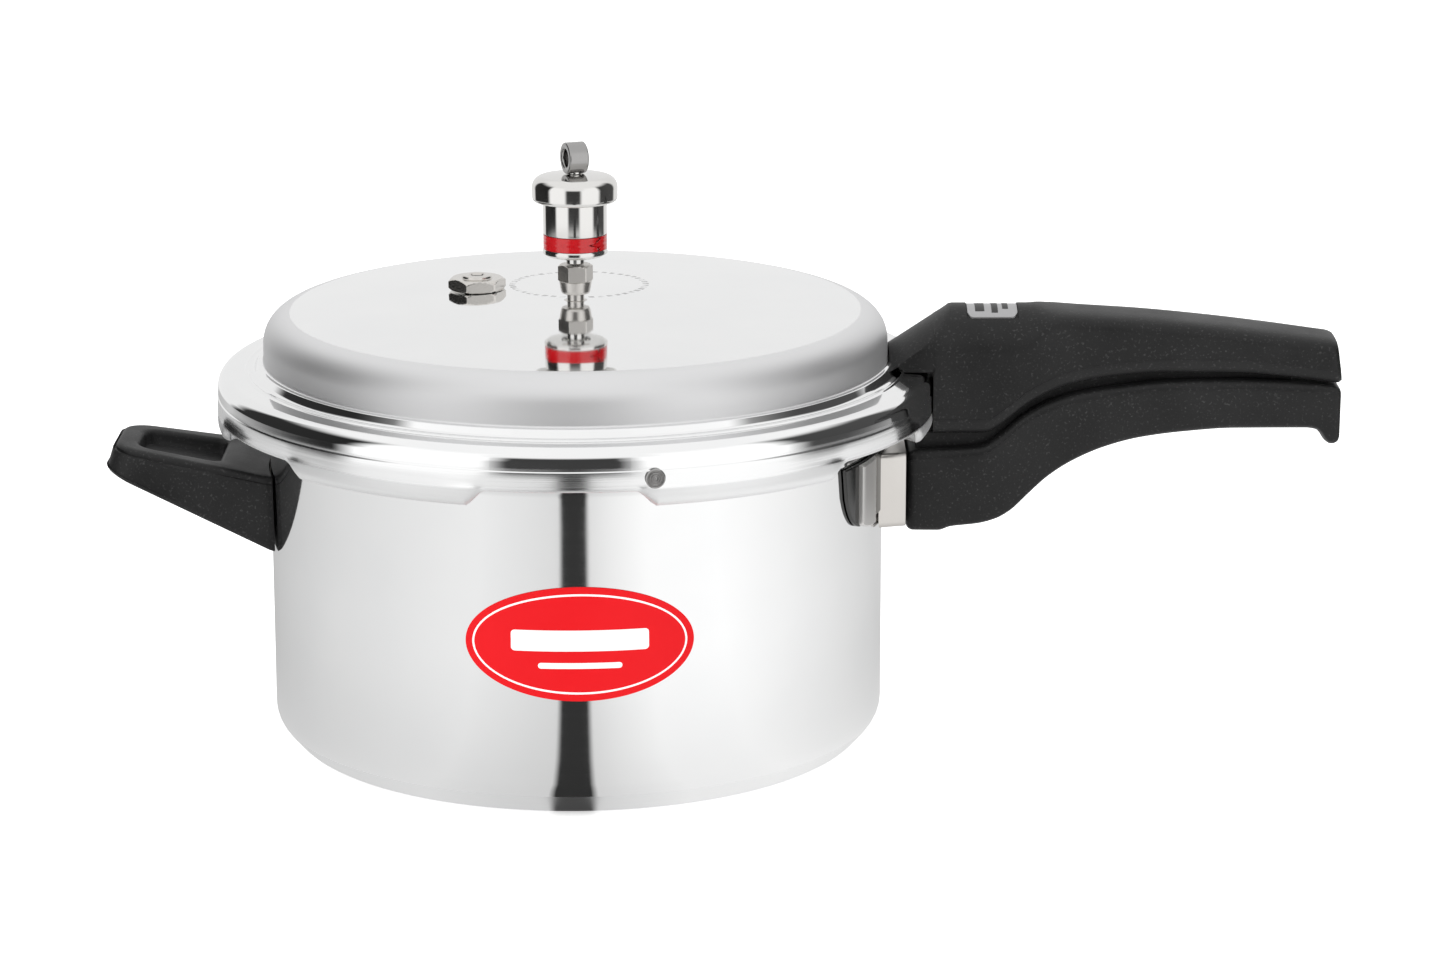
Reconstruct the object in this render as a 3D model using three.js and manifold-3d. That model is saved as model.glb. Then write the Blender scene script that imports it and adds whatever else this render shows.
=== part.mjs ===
// Stovetop pressure cooker with an outer lid that locks by a turn.
// Millimetres, +Z up. The origin is the centre of the flat base, and the long handles point along +X.
import * as THREE from 'three';
import { mergeVertices } from 'three/addons/utils/BufferGeometryUtils.js';
import Module from 'manifold-3d';

const wasm = await Module();
wasm.setup();

// ---- driving dimensions ----
const pot = { radius: 107.5, wall: 3, base: 4, cornerRadius: 11, neckZ: 111.4, rimZ: 115.9, rimThick: 3.5 };
const lock = { count: 6, lugHalf: 16, rimLugHalf: 13.5, rimGapRadius: 115.5, rimLugRadius: 121, lipInner: 116.3 };
const lid = { domeRadius: 109, topZ: 155.5, edgeDrop: 2.7, shoulder: 10.3, skirtRadius: 125.3, thick: 3 };
const flange = { topZ: 132.7, skirtZ: 118, lugZ: 112.5, rounding: 4 };
const handle = { half: 17, potBevel: 1.4, lidBevel: 2.5, blockX: 115.6, endX: 267 };
const helper = { endX: -164, endHalf: 21.5, potHalf: 30, rounding: 11 };
const label = { azimuth: 2.2, halfWide: 38.7, halfTall: 19.7, z: 62 };
const gap = 0.4; // clearance between neighbouring pieces
const roundSteps = 60; // facets round the pot and the lid
const smallSteps = 24; // facets round the small turned pieces

// ---- finishes ----
const finish = (color, roughness, metalness) => new THREE.MeshStandardMaterial({ color, roughness, metalness });
const polishedAluminium = finish(0xd9dadb, 0.12, 1);
const stainless = finish(0xc6c3bd, 0.25, 1);
const chromed = finish(0xd0d0d0, 0.08, 1);
const bakelite = finish(0x1c1c1c, 0.55, 0);
const rubber = finish(0x2a2a2c, 0.8, 0);
const redEnamel = finish(0xd8121c, 0.35, 0);
const greyPlate = finish(0x9a9a9a, 0.45, 0.2);
const softAlloy = finish(0x8d8c88, 0.5, 1);

const cooker = new THREE.Group();
const axisRadians = (degrees) => THREE.MathUtils.degToRad(degrees);

// ---- shared shape makers ----

// A closed geometry becomes a solid that can be joined and cut.
function solid(geometry) {
  geometry.deleteAttribute('normal');
  geometry.deleteAttribute('uv');
  const merged = mergeVertices(geometry, 1e-4);
  const corners = [];
  const index = merged.index.array;
  for (let i = 0; i < index.length; i += 3) {
    const [a, b, c] = [index[i], index[i + 1], index[i + 2]];
    if (a !== b && b !== c && c !== a) corners.push(a, b, c);
  }
  const vertProperties = new Float32Array(merged.attributes.position.array);
  return new wasm.Manifold(new wasm.Mesh({ numProp: 3, vertProperties, triVerts: new Uint32Array(corners) }));
}

// One named sub-part of the cooker.
function addPart(name, body, material, parent = cooker) {
  const mesh = body.getMesh();
  const geometry = new THREE.BufferGeometry();
  geometry.setAttribute('position', new THREE.BufferAttribute(new Float32Array(mesh.vertProperties), 3));
  geometry.setIndex(new THREE.BufferAttribute(new Uint32Array(mesh.triVerts), 1));
  geometry.computeVertexNormals();
  const part = new THREE.Mesh(geometry, material);
  part.name = name;
  parent.add(part);
  return part;
}

// Points of an arc in a radius-height profile, angles in degrees.
function arc(centreR, centreZ, radius, from, to, steps = 5) {
  const points = [];
  for (let i = 0; i <= steps; i += 1) {
    const angle = axisRadians(from + ((to - from) * i) / steps);
    points.push([centreR + radius * Math.cos(angle), centreZ + radius * Math.sin(angle)]);
  }
  return points;
}

// A profile turned about +Z. It runs anticlockwise, from the axis to the axis or closed on itself.
function turned(profile, steps = smallSteps) {
  const points = profile.map(([r, z]) => new THREE.Vector2(Math.max(r, 0), z));
  if (profile[0][0] > 0) points.push(points[0].clone());
  return solid(new THREE.LatheGeometry(points, steps).rotateX(Math.PI / 2));
}

// A plain cylinder along +Z.
function rod(radius, fromZ, toZ, steps = smallSteps) {
  return turned([[0, fromZ], [radius, fromZ], [radius, toZ], [0, toZ]], steps);
}

// A box between two corners.
function block(low, high) {
  const size = low.map((value, i) => high[i] - value);
  const centre = low.map((value, i) => (high[i] + value) / 2);
  return solid(new THREE.BoxGeometry(...size).translate(...centre));
}

// A piece of a ring round the pot's axis, centred on an angle.
function ringPiece(inner, outer, fromZ, toZ, centre, half, steps = 5) {
  const shape = new THREE.Shape();
  shape.absarc(0, 0, outer, axisRadians(centre - half), axisRadians(centre + half), false);
  shape.absarc(0, 0, inner, axisRadians(centre + half), axisRadians(centre - half), true);
  const depth = toZ - fromZ;
  const geometry = new THREE.ExtrudeGeometry(shape, { depth, bevelEnabled: false, curveSegments: steps });
  return solid(geometry.translate(0, 0, fromZ));
}

// A hexagonal prism along +Z, with its edges bevelled.
function hexagon(cornerRadius, fromZ, toZ, bevel = 0.6) {
  const sharp = rod(cornerRadius, fromZ, toZ, 6);
  const barrel = turned([
    [0, fromZ],
    [cornerRadius - bevel, fromZ],
    [cornerRadius, fromZ + bevel],
    [cornerRadius, toZ - bevel],
    [cornerRadius - bevel, toZ],
    [0, toZ],
  ]);
  return sharp.intersect(barrel);
}

// A side outline in X and Z, given width along Y with rounded edges.
function slab(shape, half, bevel, curveSegments = 6) {
  const geometry = new THREE.ExtrudeGeometry(shape, {
    depth: 2 * (half - bevel),
    bevelThickness: bevel,
    bevelSize: bevel,
    bevelOffset: -bevel,
    bevelSegments: 3,
    curveSegments,
  });
  return solid(geometry.rotateX(Math.PI / 2).translate(0, half - bevel, 0));
}

// A rivet along +X, with a head at each end of its shank.
function rivet(shank, head, from, to, headThick) {
  const profile = [
    [0, from - headThick],
    [head * 0.7, from - headThick],
    [head, from],
    [shank, from],
    [shank, to],
    [head, to],
    [head * 0.7, to + headThick],
    [0, to + headThick],
  ];
  return turned(profile, 16).rotate([0, 90, 0]);
}

const round = (body, degrees) => body.rotate([0, 0, degrees]);
const joined = (first, ...rest) => rest.reduce((sum, next) => sum.add(next), first);
const cutBy = (first, ...rest) => rest.reduce((left, next) => left.subtract(next), first);
const lugAngles = Array.from({ length: lock.count }, (_, i) => (360 / lock.count) * i);

// Height of the crowned lid top at a distance from its centre.
const crownZ = (r) => lid.topZ - lid.edgeDrop * (r / (lid.domeRadius - lid.shoulder)) ** 2;

// ---- pot ----
const rivetSide = { angle: 6, z: 90, shank: 1.7, head: 3.2 }; // long handle bracket's rivets
const helperRivetSide = { angle: 5, z: 86, shank: 1.7, head: 2.8 };
const saddle = { inner: 107.9, outer: 109.5, half: 20.5 }; // strap that hugs the wall

function rivetHole(side, centre) {
  const hole = rod(side.shank + 0.3, 100, 115, 16).rotate([0, 90, 0]).translate([0, 0, side.z]);
  return [-1, 1].map((turn) => round(hole, centre + turn * side.angle));
}

function potBody() {
  const inner = pot.radius - pot.wall;
  const rimTop = pot.rimZ + pot.rimThick;
  const neck = pot.rimZ - pot.neckZ;
  const shell = turned([
    [0, 0],
    ...arc(pot.radius - pot.cornerRadius, pot.cornerRadius, pot.cornerRadius, -90, 0, 4),
    ...arc(pot.radius + neck, pot.neckZ, neck, 180, 90, 2),
    [lock.rimGapRadius, pot.rimZ],
    [lock.rimGapRadius, rimTop],
    [inner, rimTop],
    ...arc(inner - 8, pot.base + 8, 8, 0, -90, 3),
    [0, pot.base],
  ], roundSteps);
  const lug = ringPiece(lock.rimGapRadius - 1, lock.rimLugRadius, pot.rimZ, rimTop, 0, lock.rimLugHalf);
  const whole = joined(shell, ...lugAngles.map((angle) => round(lug, angle)));
  return cutBy(whole, ...rivetHole(rivetSide, 0), ...rivetHole(helperRivetSide, 180));
}
addPart('pot_body', potBody(), polishedAluminium);

function frontLabel() {
  const oval = new THREE.Shape();
  oval.absellipse(0, 0, label.halfWide, label.halfTall, 0, 2 * Math.PI, false);
  const sheet = new THREE.ExtrudeGeometry(oval, { depth: 40, bevelEnabled: false, curveSegments: 20 });
  const slug = solid(sheet.rotateX(Math.PI / 2).translate(0, -75, label.z));
  const skin = rod(pot.radius + 0.7, 30, 95, roundSteps).subtract(rod(pot.radius + gap, 29, 96, roundSteps));
  return round(slug.intersect(skin), label.azimuth);
}
addPart('front_label', frontLabel(), redEnamel);

// ---- pot's long handle ----
const tang = { fromX: 108.6, toX: 130, half: 7, lowZ: 83, highZ: 97, screwX: 124 };
const guard = { fromX: 110, toX: 115.2, half: 17, lowZ: 77.5, highZ: 102.2, thick: 1 };

function potBracket() {
  const plate = ringPiece(saddle.inner, saddle.outer, guard.lowZ, guard.highZ, 0, saddle.half);
  const bar = block([tang.fromX, -tang.half, tang.lowZ], [tang.toX, tang.half, tang.highZ]);
  const screwHole = rod(2.5, 60, 120, 16).translate([tang.screwX, 0, 0]);
  return cutBy(joined(plate, bar), screwHole, ...rivetHole(rivetSide, 0));
}
addPart('pot_bracket', potBracket(), stainless);

function flameGuard() {
  const outer = block([guard.fromX, -guard.half, guard.lowZ], [guard.toX, guard.half, guard.highZ]);
  const inside = block(
    [guard.fromX - 1, -guard.half + guard.thick, guard.lowZ + guard.thick],
    [guard.toX + 1, guard.half - guard.thick, guard.highZ - guard.thick],
  );
  return outer.subtract(inside);
}
addPart('flame_guard', flameGuard(), stainless);

function potHandle() {
  const bottomZ = 74.8;
  const side = new THREE.Shape();
  side.moveTo(handle.blockX, bottomZ);
  side.lineTo(128, bottomZ);
  side.bezierCurveTo(152, 77, 152, 80, 162, 91);
  side.bezierCurveTo(180, 108, 205, 111.2, 257, 111.2);
  side.bezierCurveTo(262, 111.2, 260.5, 105.6, 264, 105.6);
  side.bezierCurveTo(266.5, 105.6, 267, 109, handle.endX, 114);
  side.lineTo(handle.endX, 122);
  side.lineTo(265, 127);
  side.bezierCurveTo(235, 131.5, 190, 130.5, 162, 120.5);
  side.lineTo(144, 107);
  side.lineTo(handle.blockX, 105);
  side.closePath();
  const body = slab(side, handle.half, handle.potBevel);
  const socket = block(
    [handle.blockX - 1, -tang.half - gap, tang.lowZ - gap],
    [tang.toX + 1, tang.half + gap, tang.highZ + gap],
  );
  const screwHole = rod(2.5, bottomZ - 1, 99.6, 16).add(rod(5, bottomZ - 1, 78.7, 16));
  return cutBy(body, socket, screwHole.translate([tang.screwX, 0, 0]));
}
addPart('pot_handle', potHandle(), bakelite);

function screw(headRadius, headZ, headThick, shank, tipZ) {
  return turned([[0, headZ], [headRadius, headZ], [headRadius, headZ + headThick],
    [shank, headZ + headThick], [shank, tipZ], [0, tipZ]], 16);
}
addPart('pot_handle_screw', screw(4.5, 75.2, 3, 2.1, 99.2).translate([tang.screwX, 0, 0]), stainless);

// ---- helper handle on the opposite side ----
const helperTang = { fromX: -120, toX: -108.6, half: 5, lowZ: 82, highZ: 92, screwX: -116 };
const helperPlate = { half: 7.5, lowZ: 77, highZ: 95 };

function helperBracket() {
  const plate = ringPiece(saddle.inner, saddle.outer, helperPlate.lowZ, helperPlate.highZ, 180, helperPlate.half, 4);
  const bar = block(
    [helperTang.fromX, -helperTang.half, helperTang.lowZ],
    [helperTang.toX, helperTang.half, helperTang.highZ],
  );
  const screwHole = rod(2.2, 60, 120, 16).translate([helperTang.screwX, 0, 0]);
  return cutBy(joined(plate, bar), screwHole, ...rivetHole(helperRivetSide, 180));
}
addPart('helper_bracket', helperBracket(), stainless);

function helperHandle() {
  const plan = new THREE.Shape();
  const { endX, endHalf, potHalf, rounding } = helper;
  plan.moveTo(-100, -potHalf);
  plan.lineTo(-100, potHalf);
  plan.lineTo(endX + rounding, endHalf + 1.5);
  plan.quadraticCurveTo(endX, endHalf, endX, endHalf - rounding);
  plan.lineTo(endX, rounding - endHalf);
  plan.quadraticCurveTo(endX, -endHalf, endX + rounding, -endHalf - 1.5);
  plan.closePath();
  const extrude = { depth: 60, bevelEnabled: false, curveSegments: 5 };
  const column = solid(new THREE.ExtrudeGeometry(plan, extrude)).translate([0, 0, 60]);
  const thumb = new THREE.Shape();
  thumb.moveTo(-125, 15);
  thumb.lineTo(-146, 12.5);
  thumb.quadraticCurveTo(-153, 12, -153, 6);
  thumb.lineTo(-153, -6);
  thumb.quadraticCurveTo(-153, -12, -146, -12.5);
  thumb.lineTo(-125, -15);
  thumb.closePath();
  const overFloor = new THREE.Shape();
  overFloor.moveTo(-160, 102.8);
  overFloor.lineTo(-120, 93.8);
  overFloor.lineTo(-120, 120);
  overFloor.lineTo(-160, 120);
  overFloor.closePath();
  const well = solid(new THREE.ExtrudeGeometry(thumb, extrude)).translate([0, 0, 60]);
  const thumbWell = well.intersect(slab(overFloor, 20, 1));
  const side = new THREE.Shape();
  side.moveTo(-100, 69.7);
  side.lineTo(-100, 97.2);
  side.lineTo(endX + 2, 107.8);
  side.lineTo(endX, 105);
  side.lineTo(endX, 100.5);
  side.lineTo(endX + 3, 98);
  side.closePath();
  const wedge = slab(side, 33, 2);
  const wall = rod(pot.radius + 0.6, 50, 120, roundSteps);
  const seat = ringPiece(100, 111.5, helperPlate.lowZ - gap, helperPlate.highZ + gap, 180, helperPlate.half + 0.6);
  const socket = block(
    [helperTang.fromX - gap, -helperTang.half - gap, helperTang.lowZ - gap],
    [-100, helperTang.half + gap, helperTang.highZ + gap],
  );
  const screwHole = rod(2.2, 60, 94.4, 16).add(rod(4.6, 60, 80.6, 16));
  const drilled = screwHole.translate([helperTang.screwX, 0, 0]);
  return cutBy(column.intersect(wedge), thumbWell, wall, seat, socket, drilled);
}
addPart('helper_handle', helperHandle(), bakelite);
addPart('helper_screw', screw(4.2, 78.4, 1.8, 1.8, 94).translate([helperTang.screwX, 0, 0]), stainless);

function addRivets(name, side, centre, outerFace) {
  [-1, 1].forEach((turn, i) => {
    const from = pot.radius - pot.wall - gap;
    const body = rivet(side.shank, side.head, from, outerFace + gap, 1.2).translate([0, 0, side.z]);
    addPart(`${name}_${i + 1}`, round(body, centre + turn * side.angle), softAlloy);
  });
}
addRivets('pot_bracket_rivet', rivetSide, 0, saddle.outer);
addRivets('helper_bracket_rivet', helperRivetSide, 180, saddle.outer);

// ---- lid: everything that turns with it is one group ----
const lidGroup = new THREE.Group();
cooker.add(lidGroup);
const ventHole = 4.6;
const safety = { x: -35.5, y: 20, shank: 4.6, hole: 5 };
const stopPin = { azimuth: -76.4, z: 122.5, shank: 2.2, head: 3.4 };
const lidPlate = { fromX: 115, toX: 138.5, half: 9, lowZ: 133.1, highZ: 135.3, rivetX: 118.8, rivetY: 5, screwX: 134 };

function lidShell() {
  const { domeRadius, shoulder, skirtRadius, thick } = lid;
  const centre = domeRadius - shoulder;
  const shoulderZ = crownZ(centre) - shoulder;
  const skirtInner = skirtRadius - thick;
  const underside = flange.topZ - thick;
  const shell = turned([
    [0, crownZ(0) - thick],
    [50, crownZ(50) - thick],
    ...arc(centre, shoulderZ, shoulder - thick, 90, 0, 3),
    [domeRadius - thick, underside + 2],
    [domeRadius + 2, underside],
    [skirtInner, underside],
    [skirtInner, flange.skirtZ],
    [skirtRadius, flange.skirtZ],
    ...arc(skirtRadius - flange.rounding, flange.topZ - flange.rounding, flange.rounding, 0, 90, 3),
    [114.5, flange.topZ],
    [111, flange.topZ + 1.2],
    [domeRadius, flange.topZ + 3.8],
    ...arc(centre, shoulderZ, shoulder, 0, 90, 4),
    [50, crownZ(50)],
    [0, crownZ(0)],
  ], roundSteps);
  const lug = ringPiece(skirtInner, skirtRadius, flange.lugZ, flange.skirtZ + 1, 0, lock.lugHalf);
  const lip = ringPiece(lock.lipInner, skirtRadius - 1, flange.lugZ, flange.lugZ + thick, 0, lock.lugHalf - 1);
  const hook = lug.add(lip);
  const whole = joined(shell, ...lugAngles.map((angle) => round(hook, angle)));
  const rivetHoles = [-1, 1].map((turn) => rod(2, 125, 140, 16).translate([lidPlate.rivetX, turn * lidPlate.rivetY, 0]));
  const pinHole = rod(stopPin.shank + 0.3, 115, 135, 16).rotate([0, 90, 0]).translate([0, 0, stopPin.z]);
  return cutBy(
    whole,
    rod(ventHole, 140, 160),
    rod(safety.hole, 140, 160).translate([safety.x, safety.y, 0]),
    ...rivetHoles,
    round(pinHole, stopPin.azimuth),
  );
}
addPart('lid_shell', lidShell(), polishedAluminium, lidGroup);

function gasket() {
  const ring = { inner: 109.5, outer: 121.8, lowZ: pot.rimZ + pot.rimThick + gap, highZ: 129.2 };
  const groove = { depthR: 118, lowZ: ring.lowZ + 2.8, highZ: ring.highZ - 2.8 };
  return turned([
    [ring.inner, ring.lowZ],
    [ring.outer, ring.lowZ],
    [ring.outer, ring.highZ],
    [ring.inner, ring.highZ],
    [ring.inner, groove.highZ + 0.4],
    [groove.depthR, groove.highZ],
    [groove.depthR, groove.lowZ],
    [ring.inner, groove.lowZ - 0.4],
  ], roundSteps);
}
addPart('gasket', gasket(), rubber, lidGroup);

function stopRivet() {
  const { shank, head, azimuth, z } = stopPin;
  const face = lid.skirtRadius + 0.3;
  const body = turned([[0, 122.2], [shank, 122.2], [shank, face], [head, face],
    [head, face + 0.7], [head * 0.75, face + 1.2], [0, face + 1.2]], 20);
  return round(body.rotate([0, 90, 0]).translate([0, 0, z]), azimuth);
}
addPart('stop_rivet', stopRivet(), stainless, lidGroup);

// ---- steam vent through the middle of the lid ----
const vent = { bore: 1.6, shank: 4.2, neck: 3.4, collar: 5.6, collarZ: 158.5, hexZ: 162.6, topZ: 168.2, hexRadius: 6.2 };

function ventPipe() {
  const hex = hexagon(vent.hexRadius, vent.hexZ, vent.topZ, 0.5);
  const stem = turned([
    [0, 143],
    [vent.shank, 143],
    [vent.shank, lid.topZ],
    [vent.neck, lid.topZ],
    [vent.neck, lid.topZ + 1],
    [vent.collar - 0.2, vent.collarZ],
    [vent.collar, vent.hexZ + 1],
    [0, vent.hexZ + 1],
  ]);
  return joined(stem, hex).subtract(rod(vent.bore, 140, 170, 16));
}
addPart('vent_pipe', ventPipe(), chromed, lidGroup);

function washer(inner, outer, fromZ, toZ) {
  return turned([[inner, fromZ], [outer, fromZ], [outer, toZ], [inner, toZ]], 24);
}

function nut(cornerRadius, hole, fromZ, toZ) {
  return hexagon(cornerRadius, fromZ, toZ).subtract(rod(hole, fromZ - 1, toZ + 1, 20));
}
const undersideZ = lid.topZ - lid.thick;
addPart('vent_washer', washer(vent.shank + 0.3, 8, undersideZ - 1.7, undersideZ - gap), rubber, lidGroup);
addPart('vent_nut', nut(8, vent.shank + 0.3, undersideZ - 6.2, undersideZ - 2), stainless, lidGroup);

// ---- fusible safety valve ----
function atSafety(body) {
  return body.translate([safety.x, safety.y, 0]);
}

function safetyBody() {
  const seatZ = crownZ(Math.hypot(safety.x, safety.y)) + gap;
  const head = hexagon(10.3, seatZ, seatZ + 3.6, 0.9);
  const boss = turned([[0, seatZ], [5.2, seatZ], [5.2, seatZ + 4], [4.6, seatZ + 4.6], [0, seatZ + 4.6]]);
  const shank = rod(safety.shank, 142.5, seatZ + 1, 24);
  return joined(head, boss, shank).subtract(rod(2.2, 140, 165, 16));
}
addPart('safety_valve_body', atSafety(safetyBody()), chromed, lidGroup);
addPart('safety_valve_core', atSafety(rod(1.9, 143, 159.6, 16)), softAlloy, lidGroup);
addPart('safety_valve_washer', atSafety(washer(4.9, 8.5, 150.3, 151.6)), rubber, lidGroup);
addPart('safety_valve_nut', atSafety(nut(9, 4.9, 145.6, 150)), stainless, lidGroup);

// ---- lid's long handle ----
function lidBracket() {
  const { fromX, toX, half, lowZ, highZ, rivetX, rivetY, screwX } = lidPlate;
  const plate = block([fromX, -half, lowZ], [toX, half, highZ]);
  const holes = [-1, 1].map((turn) => rod(2, 130, 140, 16).translate([rivetX, turn * rivetY, 0]));
  return cutBy(plate, ...holes, rod(2.5, 130, 140, 16).translate([screwX, 0, 0]));
}
addPart('lid_bracket', lidBracket(), stainless, lidGroup);

[-1, 1].forEach((turn, i) => {
  const { rivetX, rivetY, highZ } = lidPlate;
  const headZ = highZ + 0.3;
  const body = turned([[0, 129.9], [1.7, 129.9], [1.7, headZ], [3, headZ], [2.2, headZ + 1.4], [0, headZ + 1.4]], 16);
  addPart(`lid_bracket_rivet_${i + 1}`, body.translate([rivetX, turn * rivetY, 0]), softAlloy, lidGroup);
});

const insert = { fromX: 136.5, toX: 154, half: 8.5, depth: 1.6 };
const crestZ = 154.3; // top of the lid handle's front block

function lidHandle() {
  const bottomZ = 111.6;
  const side = new THREE.Shape();
  side.moveTo(106, 133.1);
  side.lineTo(106, 139);
  side.lineTo(131, crestZ);
  side.lineTo(161, crestZ);
  side.bezierCurveTo(200, 152.5, 235, 147.5, 263, 143.9);
  side.bezierCurveTo(266, 141, 267.5, 135, 267.4, 129.4);
  side.lineTo(265, 128.4);
  side.bezierCurveTo(235, 134.5, 190, 134.5, 163, 124.8);
  side.lineTo(144, bottomZ);
  side.lineTo(124, bottomZ);
  side.lineTo(124, 133.1);
  side.closePath();
  const body = slab(side, handle.half, handle.lidBevel);
  const lidSeat = turned([
    [0, 100],
    [lid.skirtRadius + gap, 100],
    [lid.skirtRadius + gap, flange.topZ + gap],
    [115, flange.topZ + gap],
    [lid.domeRadius + gap, flange.topZ + 4.4],
    [lid.domeRadius + gap, 165],
    [0, 165],
  ], roundSteps);
  const pocket = block(
    [105, -lidPlate.half - gap, lidPlate.lowZ - gap],
    [lidPlate.toX + 0.5, lidPlate.half + gap, lidPlate.highZ + 2.4],
  );
  const screwHole = rod(2.5, 100, 138, 16).add(rod(5, 100, 115.4, 16)).translate([lidPlate.screwX, 0, 0]);
  const recess = block(
    [insert.fromX - gap, -insert.half - gap, crestZ - insert.depth],
    [insert.toX + gap, insert.half + gap, crestZ + 5],
  );
  return cutBy(body, lidSeat, pocket, screwHole, recess);
}
addPart('lid_handle', lidHandle(), bakelite, lidGroup);
const lidHandleScrew = screw(4.5, 112, 3, 2.1, 137.3).translate([lidPlate.screwX, 0, 0]);
addPart('lid_handle_screw', lidHandleScrew, stainless, lidGroup);
const insertPlate = block(
  [insert.fromX, -insert.half, crestZ - insert.depth + gap],
  [insert.toX, insert.half, crestZ - 0.2],
);
addPart('lid_handle_plate', insertPlate, greyPlate, lidGroup);

// ---- steam regulator: a loose weight on a needle that closes the vent ----
const regulator = { radius: 11.15, lowZ: 171.6, neckZ: 190.4, capRadius: 15, capTopZ: 200.3, bore: 4.3 };
const band = { lowZ: 174.1, highZ: 179.3, depth: 0.85 };
const eye = { z: 205.9, outer: 5.5, inner: 3.1, halfWide: 3.5 };

function regulatorNeedle() {
  return turned([[0, 165.2], [1.1, 166.6], [1.1, 168.6], [3.3, 168.6], [3.3, 172], [3.8, 172.5], [3.8, 183.5],
    [0, 183.5]], 20);
}
addPart('regulator_needle', regulatorNeedle(), chromed);

function regulatorWeight() {
  const { radius, lowZ, neckZ, bore } = regulator;
  return turned([
    [0, 184],
    [bore, 184],
    [bore, lowZ + 3],
    [bore + 1, lowZ],
    [radius - 0.9, lowZ],
    [radius, lowZ + 0.8],
    [radius, band.lowZ],
    [radius - band.depth, band.lowZ],
    [radius - band.depth, band.highZ],
    [radius, band.highZ],
    [radius, neckZ],
    [6, neckZ],
    [6, 194.5],
    [0, 194.5],
  ]);
}
addPart('regulator_weight', regulatorWeight(), chromed);

function regulatorBand() {
  const inner = regulator.radius - band.depth + 0.3;
  return ringPiece(inner, regulator.radius - 0.1, band.lowZ + 0.3, band.highZ - 0.3, 140, 176, 24);
}
addPart('regulator_band', regulatorBand(), redEnamel);

function regulatorCap() {
  const { capRadius, capTopZ, neckZ } = regulator;
  return turned([
    [0, 194.9],
    [6.3, 194.9],
    [6.3, neckZ + 0.3],
    [capRadius - 1, neckZ + 0.3],
    [capRadius, neckZ + 1.3],
    ...arc(capRadius - 4.5, capTopZ - 4.5, 4.5, 0, 90, 3),
    [0, capTopZ],
  ]);
}
addPart('regulator_cap', regulatorCap(), chromed);

function regulatorRing() {
  const { z, outer, inner, halfWide } = eye;
  const tube = washer(inner, outer, -halfWide, halfWide).rotate([0, 90, 0]).translate([0, 0, z]);
  return tube.add(rod(2.6, regulator.capTopZ + 0.3, z - inner - 0.8, 20));
}
addPart('regulator_ring', regulatorRing(), chromed);

export default cooker;
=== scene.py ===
import bpy
import math
from mathutils import Matrix, Vector


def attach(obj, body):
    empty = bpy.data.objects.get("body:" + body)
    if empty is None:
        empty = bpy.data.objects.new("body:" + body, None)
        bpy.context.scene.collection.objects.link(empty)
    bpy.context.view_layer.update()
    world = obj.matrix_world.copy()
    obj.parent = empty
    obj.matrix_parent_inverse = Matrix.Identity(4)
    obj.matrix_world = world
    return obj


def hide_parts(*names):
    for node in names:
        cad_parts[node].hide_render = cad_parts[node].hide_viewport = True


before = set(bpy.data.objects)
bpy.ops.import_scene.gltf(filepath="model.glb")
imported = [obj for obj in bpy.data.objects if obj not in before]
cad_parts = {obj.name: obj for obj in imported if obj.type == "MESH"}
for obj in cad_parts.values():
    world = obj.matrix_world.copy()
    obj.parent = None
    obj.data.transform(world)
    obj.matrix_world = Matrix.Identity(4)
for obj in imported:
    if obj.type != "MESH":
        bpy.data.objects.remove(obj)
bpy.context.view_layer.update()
scene = bpy.context.scene
mm = 0.001


# camera in front of the cooker and a little above it
cameraSetup = {"place": (51.3, -1505.8, 478.8), "pitchDown": 14.48, "lens": 109.72, "sensor": 36,
               "clip": (0.05, 40)}


def makeCamera():
    data = bpy.data.cameras.new("productCamera")
    data.lens = cameraSetup["lens"]
    data.sensor_width = cameraSetup["sensor"]
    data.clip_start, data.clip_end = cameraSetup["clip"]
    camera = bpy.data.objects.new("productCamera", data)
    camera.location = Vector(cameraSetup["place"]) * mm
    camera.rotation_euler = (math.radians(90 - cameraSetup["pitchDown"]), 0, 0)
    scene.collection.objects.link(camera)
    scene.camera = camera


makeCamera()
print("camera placed")


def addNode(tree, kind, **settings):
    node = tree.nodes.new("ShaderNode" + kind)
    for key, value in settings.items():
        setattr(node, key, value)
    return node


def feed(tree, socket, value):
    # numbers and colours are set on the socket, outputs of other nodes are linked to it
    if isinstance(value, (int, float)):
        socket.default_value = value
    elif isinstance(value, (tuple, list)):
        socket.default_value = (*value[:3], 1)
    else:
        tree.links.new(value, socket)


def maths(tree, operation, *values):
    node = addNode(tree, "Math", operation=operation)
    for socket, value in zip(node.inputs, values):
        feed(tree, socket, value)
    return node.outputs[0]


def remap(tree, value, fromLow, fromHigh, toLow, toHigh, smooth=False):
    node = addNode(tree, "MapRange", interpolation_type="SMOOTHSTEP" if smooth else "LINEAR")
    for socket, given in zip(node.inputs, (value, fromLow, fromHigh, toLow, toHigh)):
        feed(tree, socket, given)
    return node.outputs[0]


def mixColour(tree, factor, first, second):
    node = addNode(tree, "Mix", data_type="RGBA")
    for slot, value in ((0, factor), (6, first), (7, second)):
        feed(tree, node.inputs[slot], value)
    return node.outputs[2]


def noiseAt(tree, vector, scale, detail=2, rough=0.5):
    node = addNode(tree, "TexNoise")
    feed(tree, node.inputs["Scale"], scale)
    setSockets(node, {"Detail": detail, "Roughness": rough})
    tree.links.new(vector, node.inputs["Vector"])
    return node.outputs[0]


def onObject(tree):
    return addNode(tree, "TexCoord").outputs["Object"]


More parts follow.
